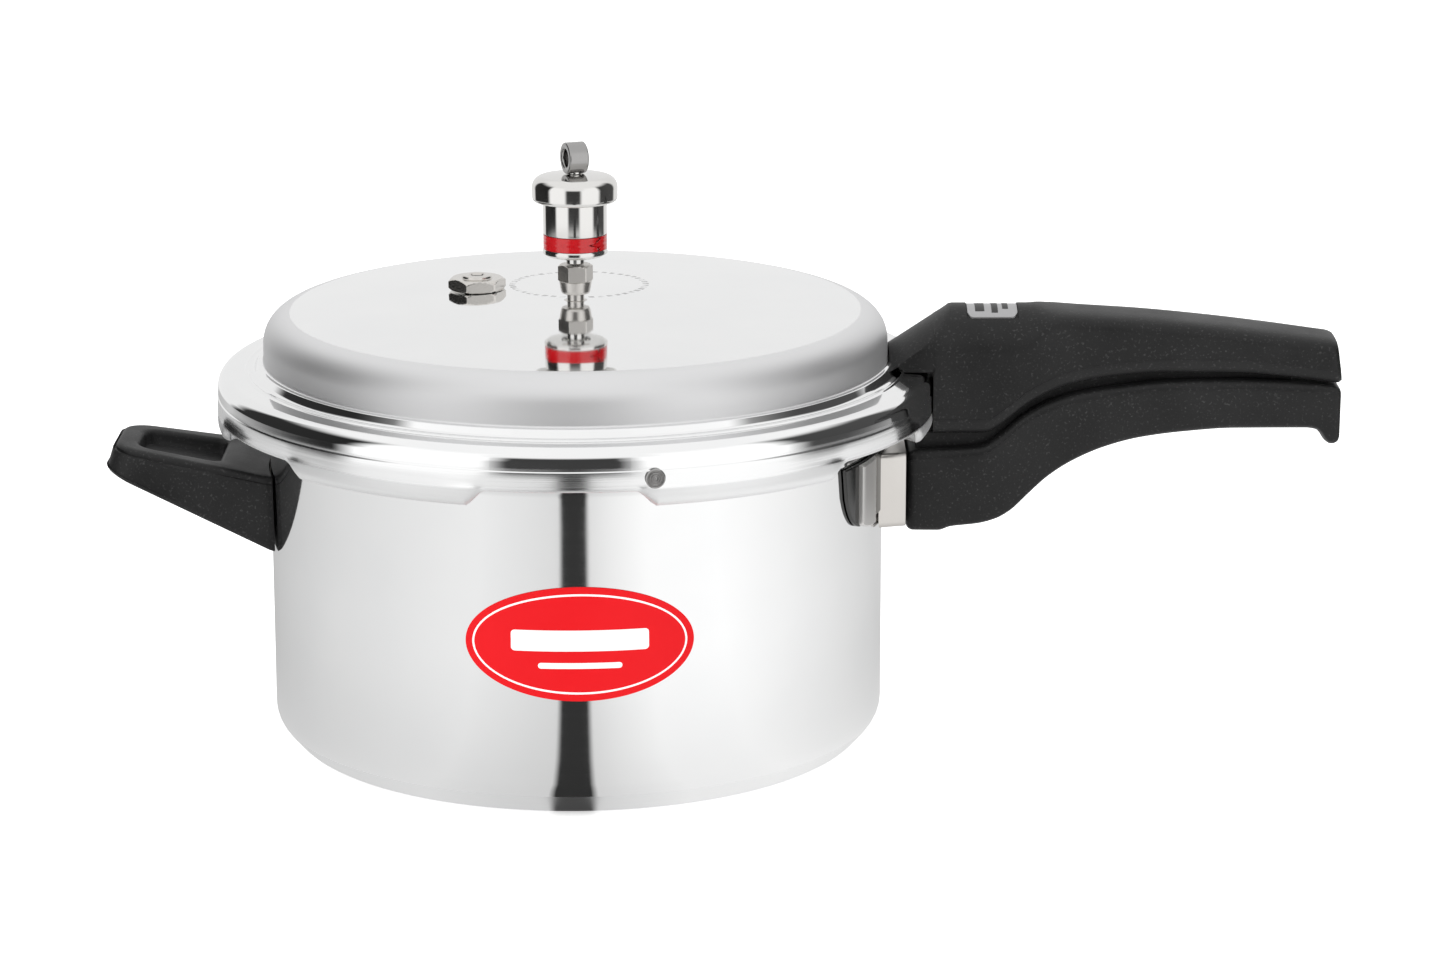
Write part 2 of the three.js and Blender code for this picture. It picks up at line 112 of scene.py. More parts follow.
def partsOf(tree, vector):
    apart = addNode(tree, "SeparateXYZ")
    tree.links.new(vector, apart.inputs[0])
    return apart.outputs


def radiusOf(tree, x, y):
    squares = [maths(tree, "MULTIPLY", part, part) for part in (x, y)]
    return maths(tree, "SQRT", maths(tree, "ADD", *squares))


def newGroup(name, inputs, outputs):
    group = bpy.data.node_groups.new(name, "ShaderNodeTree")
    for label, value in inputs.items():
        socket = group.interface.new_socket(label, in_out="INPUT", socket_type="NodeSocketFloat")
        socket.default_value = value
    for label, kind in outputs.items():
        group.interface.new_socket(label, in_out="OUTPUT", socket_type="NodeSocket" + kind)
    return group, group.nodes.new("NodeGroupInput"), group.nodes.new("NodeGroupOutput")


def setSockets(node, values):
    for label, value in values.items():
        node.inputs[label].default_value = value


def useGroup(tree, group, values):
    node = addNode(tree, "Group", node_tree=group)
    setSockets(node, values)
    return node


def makeTurningMarks():
    # fine rings left by the buffing wheel, and soft clouds where it pressed harder
    group, given, result = newGroup("turningMarks", {"Density": 900, "Drift": 6, "Cloud Scale": 30},
                                    {"Lines": "Float", "Clouds": "Float"})
    place = onObject(group)
    x, y, z = partsOf(group, place)
    across = maths(group, "MULTIPLY", maths(group, "ADD", radiusOf(group, x, y), z), given.outputs["Density"])
    drifting = [maths(group, "MULTIPLY", part, given.outputs["Drift"]) for part in (x, y)]
    along = addNode(group, "CombineXYZ")
    for socket, value in zip(along.inputs, (*drifting, across)):
        group.links.new(value, socket)
    group.links.new(noiseAt(group, along.outputs[0], 1, 4, 0.65), result.inputs["Lines"])
    group.links.new(noiseAt(group, place, given.outputs["Cloud Scale"], 3), result.inputs["Clouds"])
    return group


def makeMouldedGrain():
    # the fine pebbled skin of a moulded part, with pale flecks and slow patches
    group, given, result = newGroup("mouldedGrain", {"Grain Scale": 1700, "Patch Scale": 45, "Fleck": 0.62},
                                    {"Grain": "Float", "Patch": "Float", "Flecks": "Float"})
    place = onObject(group)
    grain = noiseAt(group, place, given.outputs["Grain Scale"], 3)
    patch = noiseAt(group, place, given.outputs["Patch Scale"], 4)
    over = maths(group, "SUBTRACT", grain, given.outputs["Fleck"])
    clean = addNode(group, "Clamp")
    group.links.new(maths(group, "MULTIPLY", over, maths(group, "MULTIPLY", patch, 14)), clean.inputs[0])
    for label, value in (("Grain", grain), ("Patch", patch), ("Flecks", clean.outputs[0])):
        group.links.new(value, result.inputs[label])
    return group


def makeHeightZone():
    # 1 below a height and 0 above it, with a soft change between; both inputs in metres
    group, given, result = newGroup("heightZone", {"Height": 0.01, "Fade": 0.001}, {"Mask": "Float"})
    height, fade = given.outputs["Height"], given.outputs["Fade"]
    start, end = maths(group, "SUBTRACT", height, fade), maths(group, "ADD", height, fade)
    mask = remap(group, partsOf(group, onObject(group))[2], start, end, 1, 0, smooth=True)
    group.links.new(mask, result.inputs["Mask"])
    return group


turningMarks = makeTurningMarks()
mouldedGrain = makeMouldedGrain()
heightZone = makeHeightZone()


def newMaterial(name, values):
    material = bpy.data.materials.new(name)
    material.use_nodes = True
    tree = material.node_tree
    shader = next(node for node in tree.nodes if node.type == "BSDF_PRINCIPLED")
    setSockets(shader, values)
    return material, tree, shader


def bumpInto(tree, shader, height, strength, distance):
    bump = addNode(tree, "Bump")
    setSockets(bump, {"Strength": strength, "Distance": distance})
    tree.links.new(height, bump.inputs["Height"])
    tree.links.new(bump.outputs[0], shader.inputs["Normal"])


def turnedMetal(name, look):
    # bare metal with turning marks in its colour, gloss and surface
    material, tree, shader = newMaterial(name, {"Metallic": 1.0})
    marks = useGroup(tree, turningMarks, {"Density": look["density"], "Drift": look["drift"]})
    tint = mixColour(tree, marks.outputs["Clouds"], look["dark"], look["light"])
    tree.links.new(tint, shader.inputs["Base Color"])
    halves = [maths(tree, "MULTIPLY", marks.outputs[label], 0.5) for label in ("Lines", "Clouds")]
    rough = remap(tree, maths(tree, "ADD", *halves), 0.3, 0.7, *look["rough"])
    tree.links.new(rough, shader.inputs["Roughness"])
    bumpInto(tree, shader, marks.outputs["Lines"], look["bump"], 0.00004)
    return material, tree, shader, rough, marks


def belowHeight(tree, height, fade=0.25):
    return useGroup(tree, heightZone, {"Height": height * mm, "Fade": fade * mm}).outputs["Mask"]


def sideways(tree, centre):
    # x and y measured from an upright axis through the centre
    parts = partsOf(tree, onObject(tree))
    return [maths(tree, "SUBTRACT", parts[i], centre[i] * mm) for i in (0, 1)]


def ringZone(tree, start, end, fade=0.3, centre=(0, 0)):
    # 1 between two radii round an upright axis
    radius = radiusOf(tree, *sideways(tree, centre))
    inside = remap(tree, radius, (start - fade) * mm, (start + fade) * mm, 0, 1, smooth=True)
    outside = remap(tree, radius, (end - fade) * mm, (end + fade) * mm, 1, 0, smooth=True)
    return maths(tree, "MULTIPLY", inside, outside)


potLook = {"density": 1400, "drift": 5, "dark": (0.86, 0.865, 0.87), "light": (0.93, 0.93, 0.925),
           "rough": (0.035, 0.085), "bump": 0.05, "satinBelow": 8.4, "satinRough": 0.34}


def makePotMetal():
    # a satin knuckle round the base
    material, tree, shader, rough = turnedMetal("potAluminium", potLook)[:4]
    satin = maths(tree, "MULTIPLY", belowHeight(tree, potLook["satinBelow"]), potLook["satinRough"])
    tree.links.new(maths(tree, "ADD", rough, satin), shader.inputs["Roughness"])
    return material


# the satin zone on the shoulder and dome wall is also tinted darker as painted shade
lidLook = {"density": 1500, "drift": 7, "dark": (0.87, 0.875, 0.88), "light": (0.93, 0.93, 0.925),
           "rough": (0.03, 0.08), "bump": 0.05, "brushedBelow": 126.3, "brushedFade": 0.7,
           "brushedRough": 0.16, "edgeBelow": 118.9, "edgeFade": 0.6, "edgeRough": 0.4, "satinShadeFrom": 99.6,
           "satinShadeTo": 109.4, "satinRough": 0.48, "paintedShadeTint": (0.80, 0.80, 0.805)}
stampLook = {"centre": (0.3, 28), "radius": 23.7, "half": 1.1, "fade": 0.15, "strokes": 44,
             "gap": (0.16, 0.24), "wornScale": 330, "worn": (0.35, 0.6), "faintest": 0.15,
             "tint": (0.30, 0.30, 0.30), "depth": 0.85, "rough": 0.2}


def stampedDashes(tree):
    # short stamped strokes in a ring behind the vent
    look = stampLook
    x, y = sideways(tree, look["centre"])
    turn = maths(tree, "MULTIPLY", maths(tree, "ARCTAN2", y, x), look["strokes"] / math.tau)
    stroke = remap(tree, maths(tree, "PINGPONG", turn, 0.5), *look["gap"], 0, 1, smooth=True)
    radius, half = look["radius"], look["half"]
    ring = ringZone(tree, radius - half, radius + half, look["fade"], look["centre"])
    uneven = remap(tree, noiseAt(tree, onObject(tree), look["wornScale"]), *look["worn"], look["faintest"], 1)
    return maths(tree, "MULTIPLY", maths(tree, "MULTIPLY", stroke, ring), uneven)


def makeLidMetal():
    # brushed skirt, satin shoulder and dome wall with painted grey shade, dull cut edge and the stamped ring
    look = lidLook
    material, tree, shader, rough, marks = turnedMetal("lidAluminium", look)
    skirt = belowHeight(tree, look["brushedBelow"], look["brushedFade"])
    streaks = maths(tree, "MULTIPLY", skirt, remap(tree, marks.outputs["Lines"], 0.35, 0.65, 0.3, 1.0))
    edge = belowHeight(tree, look["edgeBelow"], look["edgeFade"])
    wall = ringZone(tree, look["satinShadeFrom"], look["satinShadeTo"])
    dashes = stampedDashes(tree)
    for mask, amount in ((streaks, look["brushedRough"]), (edge, look["edgeRough"]), (wall, look["satinRough"]),
                         (dashes, stampLook["rough"])):
        rough = maths(tree, "ADD", rough, maths(tree, "MULTIPLY", mask, amount))
    tree.links.new(rough, shader.inputs["Roughness"])
    # painted shade: the shoulder and dome wall get a darker grey tint
    tint = mixColour(tree, wall, shader.inputs["Base Color"].links[0].from_socket, look["paintedShadeTint"])
    stamped = mixColour(tree, maths(tree, "MULTIPLY", dashes, stampLook["depth"]), tint, stampLook["tint"])
    tree.links.new(stamped, shader.inputs["Base Color"])
    return material


bakeliteLook = {"base": (0.0045, 0.0045, 0.0046), "patch": (0.021, 0.021, 0.0212),
                "fleck": (0.040, 0.040, 0.040), "rough": (0.38, 0.52), "shine": 0.22, "bump": 0.5,
                "grain": 1150, "fleckFrom": 0.59}


def makeBakelite():
    look = bakeliteLook
    material, tree, shader = newMaterial("blackBakelite", {"Metallic": 0.0, "Specular IOR Level": look["shine"]})
    grain = useGroup(tree, mouldedGrain, {"Grain Scale": look["grain"], "Fleck": look["fleckFrom"]})
    body = mixColour(tree, grain.outputs["Patch"], look["base"], look["patch"])
    flecked = mixColour(tree, grain.outputs["Flecks"], body, look["fleck"])
    tree.links.new(flecked, shader.inputs["Base Color"])
    rough = remap(tree, grain.outputs["Patch"], 0.3, 0.7, *look["rough"])
    tree.links.new(rough, shader.inputs["Roughness"])
    bumpInto(tree, shader, grain.outputs["Grain"], look["bump"], 0.00012)
    return material


def makePlain(name, look):
    # moulded, printed or enamelled parts: one colour with slow variation and a fine skin
    material, tree, shader = newMaterial(name, {
        "Metallic": 0.0, "Specular IOR Level": look.get("shine", 0.5), "Coat Weight": look.get("coat", 0),
        "Coat Roughness": 0.05})
    grain = useGroup(tree, mouldedGrain, {"Grain Scale": look["grain"]})
    patch = grain.outputs["Patch"]
    tree.links.new(mixColour(tree, patch, look["dark"], look["light"]), shader.inputs["Base Color"])
    tree.links.new(remap(tree, patch, 0.3, 0.7, *look["rough"]), shader.inputs["Roughness"])
    bumpInto(tree, shader, grain.outputs["Grain"], look["bump"], 0.00005)
    return material


steelLook = {"density": 2600, "drift": 30, "dark": (0.60, 0.575, 0.545), "light": (0.71, 0.69, 0.66),
             "rough": (0.14, 0.26), "bump": 0.1}
rivetLook = {"density": 4000, "drift": 40, "dark": (0.50, 0.50, 0.49), "light": (0.66, 0.66, 0.65),
             "rough": (0.28, 0.42), "bump": 0.15}
metalLooks = {
    "bracketSteel": steelLook,
    "turnedSteel": dict(steelLook, density=5200, bump=0.25),
    "satinSteel": dict(steelLook, density=4200, rough=(0.26, 0.36)),
    # matt steel for the ears: rougher, and its tint raised to paint them lighter
    "mattSteel": dict(steelLook, dark=(0.76, 0.745, 0.73), light=(0.84, 0.83, 0.815), rough=(0.5, 0.6)),
    # strap steel with its tint painted dark, standing in for the handle's dark reflection
    "blackenedSteel": dict(steelLook, dark=(0.065, 0.065, 0.065), light=(0.11, 0.11, 0.108)),
    "darkSteel": dict(steelLook, dark=(0.30, 0.30, 0.30), light=(0.46, 0.45, 0.44), bump=0.25),
    "regulatorChrome": {"density": 3200, "drift": 10, "dark": (0.70, 0.69, 0.67), "light": (0.80, 0.79, 0.775),
                        "rough": (0.05, 0.12), "bump": 0.07},
    "rivetAlloy": rivetLook,
    "fusibleAlloy": dict(rivetLook, dark=(0.22, 0.22, 0.22), light=(0.34, 0.34, 0.33)),
}
plainLooks = {
    "redLabel": {"dark": (0.68, 0.003, 0.007), "light": (0.74, 0.005, 0.010), "rough": (0.28, 0.36),
                 "grain": 900, "bump": 0.03, "shine": 0.15},
    "labelWhite": {"dark": (0.86, 0.86, 0.86), "light": (0.95, 0.95, 0.95), "rough": (0.30, 0.40),
                   "grain": 900, "bump": 0.03},
    "redBand": {"dark": (0.56, 0.004, 0.008), "light": (0.66, 0.006, 0.012), "rough": (0.14, 0.22),
                "grain": 700, "bump": 0.03, "coat": 0.4},
    "blackInk": {"dark": (0.010, 0.010, 0.010), "light": (0.016, 0.016, 0.016), "rough": (0.4, 0.5),
                 "grain": 900, "bump": 0.03},
    "insertGrey": {"dark": (0.26, 0.26, 0.265), "light": (0.34, 0.34, 0.345), "rough": (0.30, 0.40),
                   "grain": 1500, "bump": 0.08},
    "sealRubber": {"dark": (0.020, 0.020, 0.021), "light": (0.034, 0.034, 0.035), "rough": (0.62, 0.78),
                   "grain": 1100, "bump": 0.2},
}

potMetal = makePotMetal()
lidMetal = makeLidMetal()
blackBakelite = makeBakelite()
metal = {name: turnedMetal(name, look)[0] for name, look in metalLooks.items()}
plain = {name: makePlain(name, look) for name, look in plainLooks.items()}
print("finishes ready")


# every shape from here on is worked out in millimetres
def addPiece(name, points, faces, body, material, sharp=34):
    mesh = bpy.data.meshes.new(name)
    mesh.from_pydata([Vector(point) * mm for point in points], [], faces)
    mesh.validate()
    mesh.shade_smooth()
    mesh.set_sharp_from_angle(angle=math.radians(sharp))
    piece = bpy.data.objects.new(name, mesh)
    scene.collection.objects.link(piece)
    mesh.materials.append(material)
    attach(piece, body)
    return piece


def cornerArc(before, corner, after, radius, steps=None, arcStep=11):
    # points of the arc that rounds a corner between two straight sides
    here = Vector(corner)
    back = (Vector(before) - here).normalized()
    ahead = (Vector(after) - here).normalized()
    turn = math.pi - back.angle(ahead)
    start = here + back * radius * math.tan(turn / 2)
    centre = here + (back + ahead).normalized() * radius / math.cos(turn / 2)
    way = 1 if back.x * ahead.y - back.y * ahead.x < 0 else -1
    steps = steps or max(2, round(math.degrees(turn) / arcStep))
    points = []
    for k in range(steps + 1):
        arm = start - centre
        arm.rotate(Matrix.Rotation(way * turn * k / steps, 2))
        points.append(tuple(centre + arm))
    return points


def filleted(corners, closed=False, arcStep=11):
    # each corner is (r, z) or (r, z, fillet radius)
    points = []
    for i, corner in enumerate(corners):
        atEnd = not closed and i in (0, len(corners) - 1)
        if len(corner) < 3 or atEnd:
            points.append(tuple(Vector(corner[:2])))
        else:
            after = corners[(i + 1) % len(corners)]
            points += cornerArc(corners[i - 1][:2], corner[:2], after[:2], corner[2], arcStep=arcStep)
    return points


def mix(start, end, share):
    return start + (end - start) * share


def mixPoints(a, b, share):
    return tuple(mix(p, q, share) for p, q in zip(a, b))


def smooth(value):
    value = min(max(value, 0), 1)
    return value * value * (3 - 2 * value)


def roundOff(share):
    # how far a quarter circle has fallen away: 0 at the start, 1 at the end
    return 1 - math.sqrt(max(1 - share * share, 0))


def subdivided(profile, longest):
    points = [profile[0]]
    for a, b in zip(profile, profile[1:]):
        count = max(1, math.ceil(math.dist(a, b) / longest))
        for k in range(1, count + 1):
            points.append(mixPoints(a, b, k / count))
    return points


def resampled(profile, count):
    lengths = [0]
    for a, b in zip(profile, profile[1:]):
        lengths.append(lengths[-1] + math.dist(a, b))
    points = []
    segment = 0
    for k in range(count):
        want = lengths[-1] * k / (count - 1)
        while segment < len(profile) - 2 and lengths[segment + 1] < want:
            segment += 1
        share = (want - lengths[segment]) / max(lengths[segment + 1] - lengths[segment], 1e-9)
        points.append(mixPoints(profile[segment], profile[segment + 1], share))
    return points


def spunMesh(profileAt, angles, closed):
    # profileAt(angle) gives the same number of points at every angle; faces look outward
    first = profileAt(angles[0])
    count = len(first)
    onAxis = [i for i, (r, z) in enumerate(first) if r < 1e-6]
    poles = {i: k for k, i in enumerate(onAxis)}
    points = [(0, 0, first[i][1]) for i in onAxis]
    rows = []
    for angle in angles:
        row = []
        for i, (r, z) in enumerate(profileAt(angle)):
            if i in poles:
                row.append(poles[i])
            else:
                row.append(len(points))
                points.append((r * math.cos(angle), r * math.sin(angle), z))
        rows.append(row)
    faces = []
    for a, b in zip(rows, rows[1:] + rows[:1]):
        for i in range(count if closed else count - 1):
            j = (i + 1) % count
            corners = [a[i], b[i], b[j], a[j]]
            kept = [c for k, c in enumerate(corners) if c != corners[k - 1]]
            if len(kept) > 2:
                faces.append(kept)
    return points, faces


def evenAngles(steps):
    return [math.tau * k / steps for k in range(steps)]


def turnedPiece(name, profile, body, material, steps=144, closed=False, pose=None, sharp=34,
                limit=None):
    # spun round the z axis, then moved by pose; limit(r, z, angle) can pull the radius in, for hexagons
    def profileAt(angle):
        if limit is None:
            return profile
        return [(limit(r, z, angle), z) for r, z in profile]

    points, faces = spunMesh(profileAt, evenAngles(steps), closed)
    if pose is not None:
        points = [pose @ Vector(point) for point in points]
    return addPiece(name, points, faces, body, material, sharp)


def hexLimit(acrossCorners, above, turn):
    # six flats above a height; round below it
    apothem = acrossCorners / 2 * math.cos(math.pi / 6)

    def limit(r, z, angle):
        folded = (angle - turn) % (math.pi / 3) - math.pi / 6
        return min(r, apothem / math.cos(folded)) if z > above else r

    return limit


def bridged(size, rows, loop=False):
    # four-sided faces between neighbouring rings that have the same number of points
    faces = []
    for row in range(rows if loop else rows - 1):
        after = (row + 1) % rows
        for i in range(size):
            j = (i + 1) % size
            faces.append((row * size + i, row * size + j, after * size + j, after * size + i))
    return faces


def capped(size, rows):
    last = (rows - 1) * size
    return bridged(size, rows) + [tuple(range(size - 1, -1, -1)), tuple(range(last, last + size))]


def loftedPiece(name, rings, body, material, sharp=34):
    # closed rings with the same number of points, capped at both ends
    points = [point for ring in rings for point in ring]
    return addPiece(name, points, capped(len(rings[0]), len(rings)), body, material, sharp)


def curveThrough(knots):
    # a smooth height that passes through (x, value) knots without overshoot
    xs = [knot[0] for knot in knots]
    ys = [knot[1] for knot in knots]
    slopes = [(ys[i + 1] - ys[i]) / (xs[i + 1] - xs[i]) for i in range(len(xs) - 1)]
    tangents = [slopes[0]]
    for before, after in zip(slopes, slopes[1:]):
        tangents.append(0 if before * after <= 0 else 2 * before * after / (before + after))
    tangents.append(slopes[-1])

    def value(x):
        if x <= xs[0]:
            return ys[0]
        if x >= xs[-1]:
            return ys[-1]
        i = next(k for k in range(len(xs) - 1) if x <= xs[k + 1])
        h = xs[i + 1] - xs[i]
        t = (x - xs[i]) / h
        return ((2 * t**3 - 3 * t**2 + 1) * ys[i] + (t**3 - 2 * t**2 + t) * h * tangents[i]
                + (3 * t**2 - 2 * t**3) * ys[i + 1] + (t**3 - t**2) * h * tangents[i + 1])

    return value


def cutRoundWell(piece, x, radius, low, high, sharp=34):
    # an upright round hole, cut from below for a screw
    steps = 40
    points = [(radius * math.cos(angle) + x, radius * math.sin(angle), z)
              for z in (low, high) for angle in evenAngles(steps)]
    mesh = bpy.data.meshes.new("wellCutter")
    mesh.from_pydata([Vector(point) * mm for point in points], [], capped(steps, 2))
    cutter = bpy.data.objects.new("wellCutter", mesh)
    scene.collection.objects.link(cutter)
    cut = piece.modifiers.new("cut", "BOOLEAN")
    cut.object = cutter
    cut.operation = "DIFFERENCE"
    cut.solver = "EXACT"
    shown = piece.evaluated_get(bpy.context.evaluated_depsgraph_get())
    shape = bpy.data.meshes.new_from_object(shown)
    piece.modifiers.clear()
    piece.data = shape
    shape.set_sharp_from_angle(angle=math.radians(sharp))
    bpy.data.objects.remove(cutter)


lugCount = 6  # lugs round the pot's rim, and as many under the lid


def fromLugCentre(angle):
    pitch = 360 / lugCount
    degrees = math.degrees(angle) % pitch
    return min(degrees, pitch - degrees)


def lugAngles(half, spread):
    # even steps round the rim, closer together where the lugs end
    angles = [step * 1.5 for step in range(240)]
    for k in range(lugCount):
        for side in (-1, 1):
            middle = 360 / lugCount * k + side * half
            angles += [middle + spread * (i / 9 - 1) for i in range(19)]
    unique = sorted({round(angle % 360, 2) for angle in angles})
    thinned = [unique[0]]
    for angle in unique[1:]:
        if angle - thinned[-1] > 0.12:
            thinned.append(angle)
    return [math.radians(angle) for angle in thinned]


potShape = {"radius": 107.5, "inner": 104.5, "floor": 4, "corner": 11, "rim": 115.9, "rimTop": 119.4,
            "gapRadius": 115.5, "lugRadius": 121, "lugHalf": 13.5}


def makePot():
    s = potShape
    profile = filleted([
        (0, 0), (s["radius"] - s["corner"] - 1.5, 0, 1.5), (s["radius"] - 7.5, 1.1, 6), (s["radius"], 9.6, 9),
        (s["radius"], s["rim"], 4.4), (s["gapRadius"] + 0.01, s["rim"], 0.6),
        (s["gapRadius"] + 0.01, s["rimTop"], 0.8),
        (s["inner"], s["rimTop"], 1.6), (s["inner"], s["floor"], 8), (0, s["floor"])])
    profile = subdivided(profile, 9)

    def profileAt(angle):
        lug = smooth((s["lugHalf"] + 1 - fromLugCentre(angle)) / 2)
        reach = (s["lugRadius"] - s["gapRadius"]) * lug
        return [(r + reach * smooth((r - 112) / 3), z) if z > 100 else (r, z) for r, z in profile]

    points, faces = spunMesh(profileAt, lugAngles(s["lugHalf"], 1.6), False)
    pot = addPiece("potBody", points, faces, "pot", potMetal, 50)
    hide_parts("pot_body")


lidShape = {"dome": 109, "top": 155.5, "edge": 152.8, "shoulder": 10.3, "flange": 132.7, "skirt": 125.3,
            "thick": 3, "join": 121.6, "cutBottom": 118.2, "lugBottom": 112.5, "lipInner": 116.4,
            "lipThick": 2.9, "lugHalf": 17.1, "lipHalf": 14.2, "blend": 3.4, "lugTurn": -0.6, "swell": 0.2}


def makeLid():
    s = lidShape
    skirt, inner, thick, join = s["skirt"], s["skirt"] - s["thick"], s["thick"], s["join"]
    crown = [(r, s["top"] - (s["top"] - s["edge"]) * (r / 98.7) ** 2) for r in range(0, 90, 8)]
    outer = filleted([
        (skirt, join), (skirt, 124.9, 0.3), (skirt - 0.28, 125.3, 0.3), (skirt - 0.28, s["flange"], 4.6),
        (115.8, s["flange"] + 0.35, 0.5), (115.0, s["flange"] + 1.05, 0.7), (114.0, s["flange"] + 0.45, 0.5),
        (112.4, s["flange"] + 0.6, 1.6), (110.9, s["flange"] + 3.3, 0.6),
        (s["dome"] + 0.1, s["flange"] + 3.4, 0.9),
        (s["dome"] - 0.2, s["edge"] - 0.3, s["shoulder"]), (90, crown[-1][1])], arcStep=8)
    upperSide = subdivided(outer[:-1], 5) + crown[::-1]
    lowerSide = [(0, s["top"] - thick), (50, s["top"] - thick - 0.7)] + filleted([
        (90, s["edge"] - thick + 0.4), (s["dome"] - thick, s["edge"] - thick, s["shoulder"] - thick),
        (s["dome"] - thick, s["flange"] - thick, 2), (inner, s["flange"] - thick, 1), (inner, join)])[1:]
    cutEdge = filleted([(inner, join), (inner, s["cutBottom"] + 0.2, 1.1), (skirt - 0.15, s["cutBottom"], 0.6),
                        (skirt - 0.1, s["cutBottom"] + 2.2, 1.6), (skirt, join)])
    lipTop = s["lugBottom"] + s["lipThick"]
    lugEdge = filleted([(inner, join), (inner, lipTop, 1.2), (s["lipInner"], lipTop, 1.2),
                        (s["lipInner"], s["lugBottom"], 1.2), (skirt + 0.1, s["lugBottom"], 3.4),
                        (skirt, join)])
    cutEdge, lugEdge = resampled(cutEdge, 56), resampled(lugEdge, 56)

    lugTurn = math.radians(s["lugTurn"])

    def profileAt(angle):
        # the skirt drops with a hollow corner; the lip under it is a little narrower
        fromCentre = fromLugCentre(angle - lugTurn)
        away = fromCentre - s["lugHalf"]
        share = min(max(0.5 - away / s["blend"], 0), 1)
        drop = 0.2 * roundOff(share) + 0.8 * smooth(share)
        lip = smooth((s["lipHalf"] + 1.2 - fromCentre) / 2.4)
        swell = s["swell"] * math.exp(-((away + 0.8) / 2.2) ** 2)
        edge = []
        for (cutR, cutZ), (lugR, lugZ) in zip(cutEdge, lugEdge):
            r = mix(cutR, max(lugR, inner), drop) + (min(lugR, inner) - inner) * lip
            z = mix(cutZ, lugZ, drop)
            edge.append((r + swell * smooth((121 - z) / 4) * (1 if r > 122 else 0.4), z))
        return lowerSide[:-1] + edge + upperSide[1:]

    angles = [angle + lugTurn for angle in lugAngles(s["lugHalf"], s["blend"] / 2 + 0.5)]
    points, faces = spunMesh(profileAt, angles, False)
    lid = addPiece("lidShell", points, faces, "lid", lidMetal, 50)
    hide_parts("lid_shell")


makePot()
makeLid()
print("pot and lid spun")


ventShape = {"hexCorners": 12.4, "hexLow": 162.6, "hexTop": 168.2, "bore": 1.6, "turn": 0.16}


def makeVent():
    v = ventShape
    profile = filleted([
        (v["bore"], 143), (4.2, 143, 0.4), (4.2, 155.5, 0.2), (3.0, 155.5, 0.2), (3.0, 157.9, 0.3),
        (4.75, 158.1, 0.2), (5.15, 158.9, 0.3), (5.72, v["hexLow"] - 0.2, 0.05),
        (5.5, v["hexLow"] - 0.05, 0.02),
        (v["hexCorners"] / 2, v["hexLow"] + 0.1, 0.05),
        (v["hexCorners"] / 2, v["hexTop"] - 0.6, 0.2), (5.3, v["hexTop"], 0.1), (2.3, v["hexTop"], 0.2),
        (v["bore"], v["hexTop"] - 0.7)], closed=True)
    profile = subdivided(profile + profile[:1], 0.5)[:-1]
    flats = hexLimit(v["hexCorners"], v["hexLow"], v["turn"])
    vent = turnedPiece("ventPipe", profile, "lid", metal["satinSteel"], 180, closed=True,
                       sharp=26, limit=flats)
    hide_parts("vent_pipe")


safetyShape = {"x": -35.5, "y": 20, "corners": 20.6, "base": 155.45, "top": 159.4, "turn": 0.2}


def makeSafetyValve():
    s = safetyShape
    half = s["corners"] / 2
    base, top = s["base"], s["top"]
    profile = subdivided(filleted([
        (2.2, 142.5), (4.6, 142.5, 0.3), (4.6, base), (half - 0.7, base, 0.2), (half, base + 0.6),
        (half, top - 1.1), (half - 1.5, top, 0.2), (5.5, top, 0.4), (5.2, top + 0.9, 0.5),
        (2.8, top + 1.0, 0.4), (2.2, top + 0.3), (2.2, 142.5)]), 0.5)[:-1]
    flats = hexLimit(s["corners"], base, s["turn"])
    pose = Matrix.Translation((s["x"], s["y"], 0))
    body = turnedPiece("safetyValve", profile, "lid", metal["turnedSteel"], 180,
                       closed=True, pose=pose, sharp=24, limit=flats)
    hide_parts("safety_valve_body")
    plug = filleted([(0, 143), (1.95, 143, 0.2), (1.95, top + 0.2, 0.4), (1.1, top + 0.45, 0.3),
                     (0, top + 0.1)])
    core = turnedPiece("safetyCore", plug, "lid", metal["fusibleAlloy"], 48, pose=pose)
    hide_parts("safety_valve_core")


stopShape = {"azimuth": -76.4, "z": 122.5, "face": 125.5}


def makeStopRivet():
    # a rivet on its side in the skirt, with turned grooves in its face
    s = stopShape
    f = s["face"]
    profile = filleted([
        (0, 122.2), (2.2, 122.2), (2.2, f), (3.3, f, 0.1), (3.35, f + 0.6, 0.3), (2.9, f + 1.0, 0.15),
        (2.4, f + 0.25, 0.15), (1.9, f + 0.95, 0.15), (1.5, f + 0.3, 0.12), (1.1, f + 1.0, 0.15),
        (0.7, f + 0.35, 0.12), (0, f + 1.0)])
    turn = Matrix.Rotation(math.radians(s["azimuth"]), 4, "Z")
    pose = turn @ Matrix.Translation((0, 0, s["z"])) @ Matrix.Rotation(math.pi / 2, 4, "Y")
    rivet = turnedPiece("stopRivet", profile, "lid", metal["darkSteel"], 64, pose=pose,
                        sharp=20)
    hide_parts("stop_rivet")


makeVent()
makeSafetyValve()
makeStopRivet()
print("valves made")


regulatorShape = {"radius": 11.15, "low": 171.6, "neck": 190.4, "cap": 15, "capTop": 200.3, "bandLow": 174.1,
                  "bandHigh": 179.3, "eyeZ": 205.85, "eyeTurn": 22, "eyeHalf": 3.5, "eyeHole": 3.1,
                  "eyeRadius": 5.5}


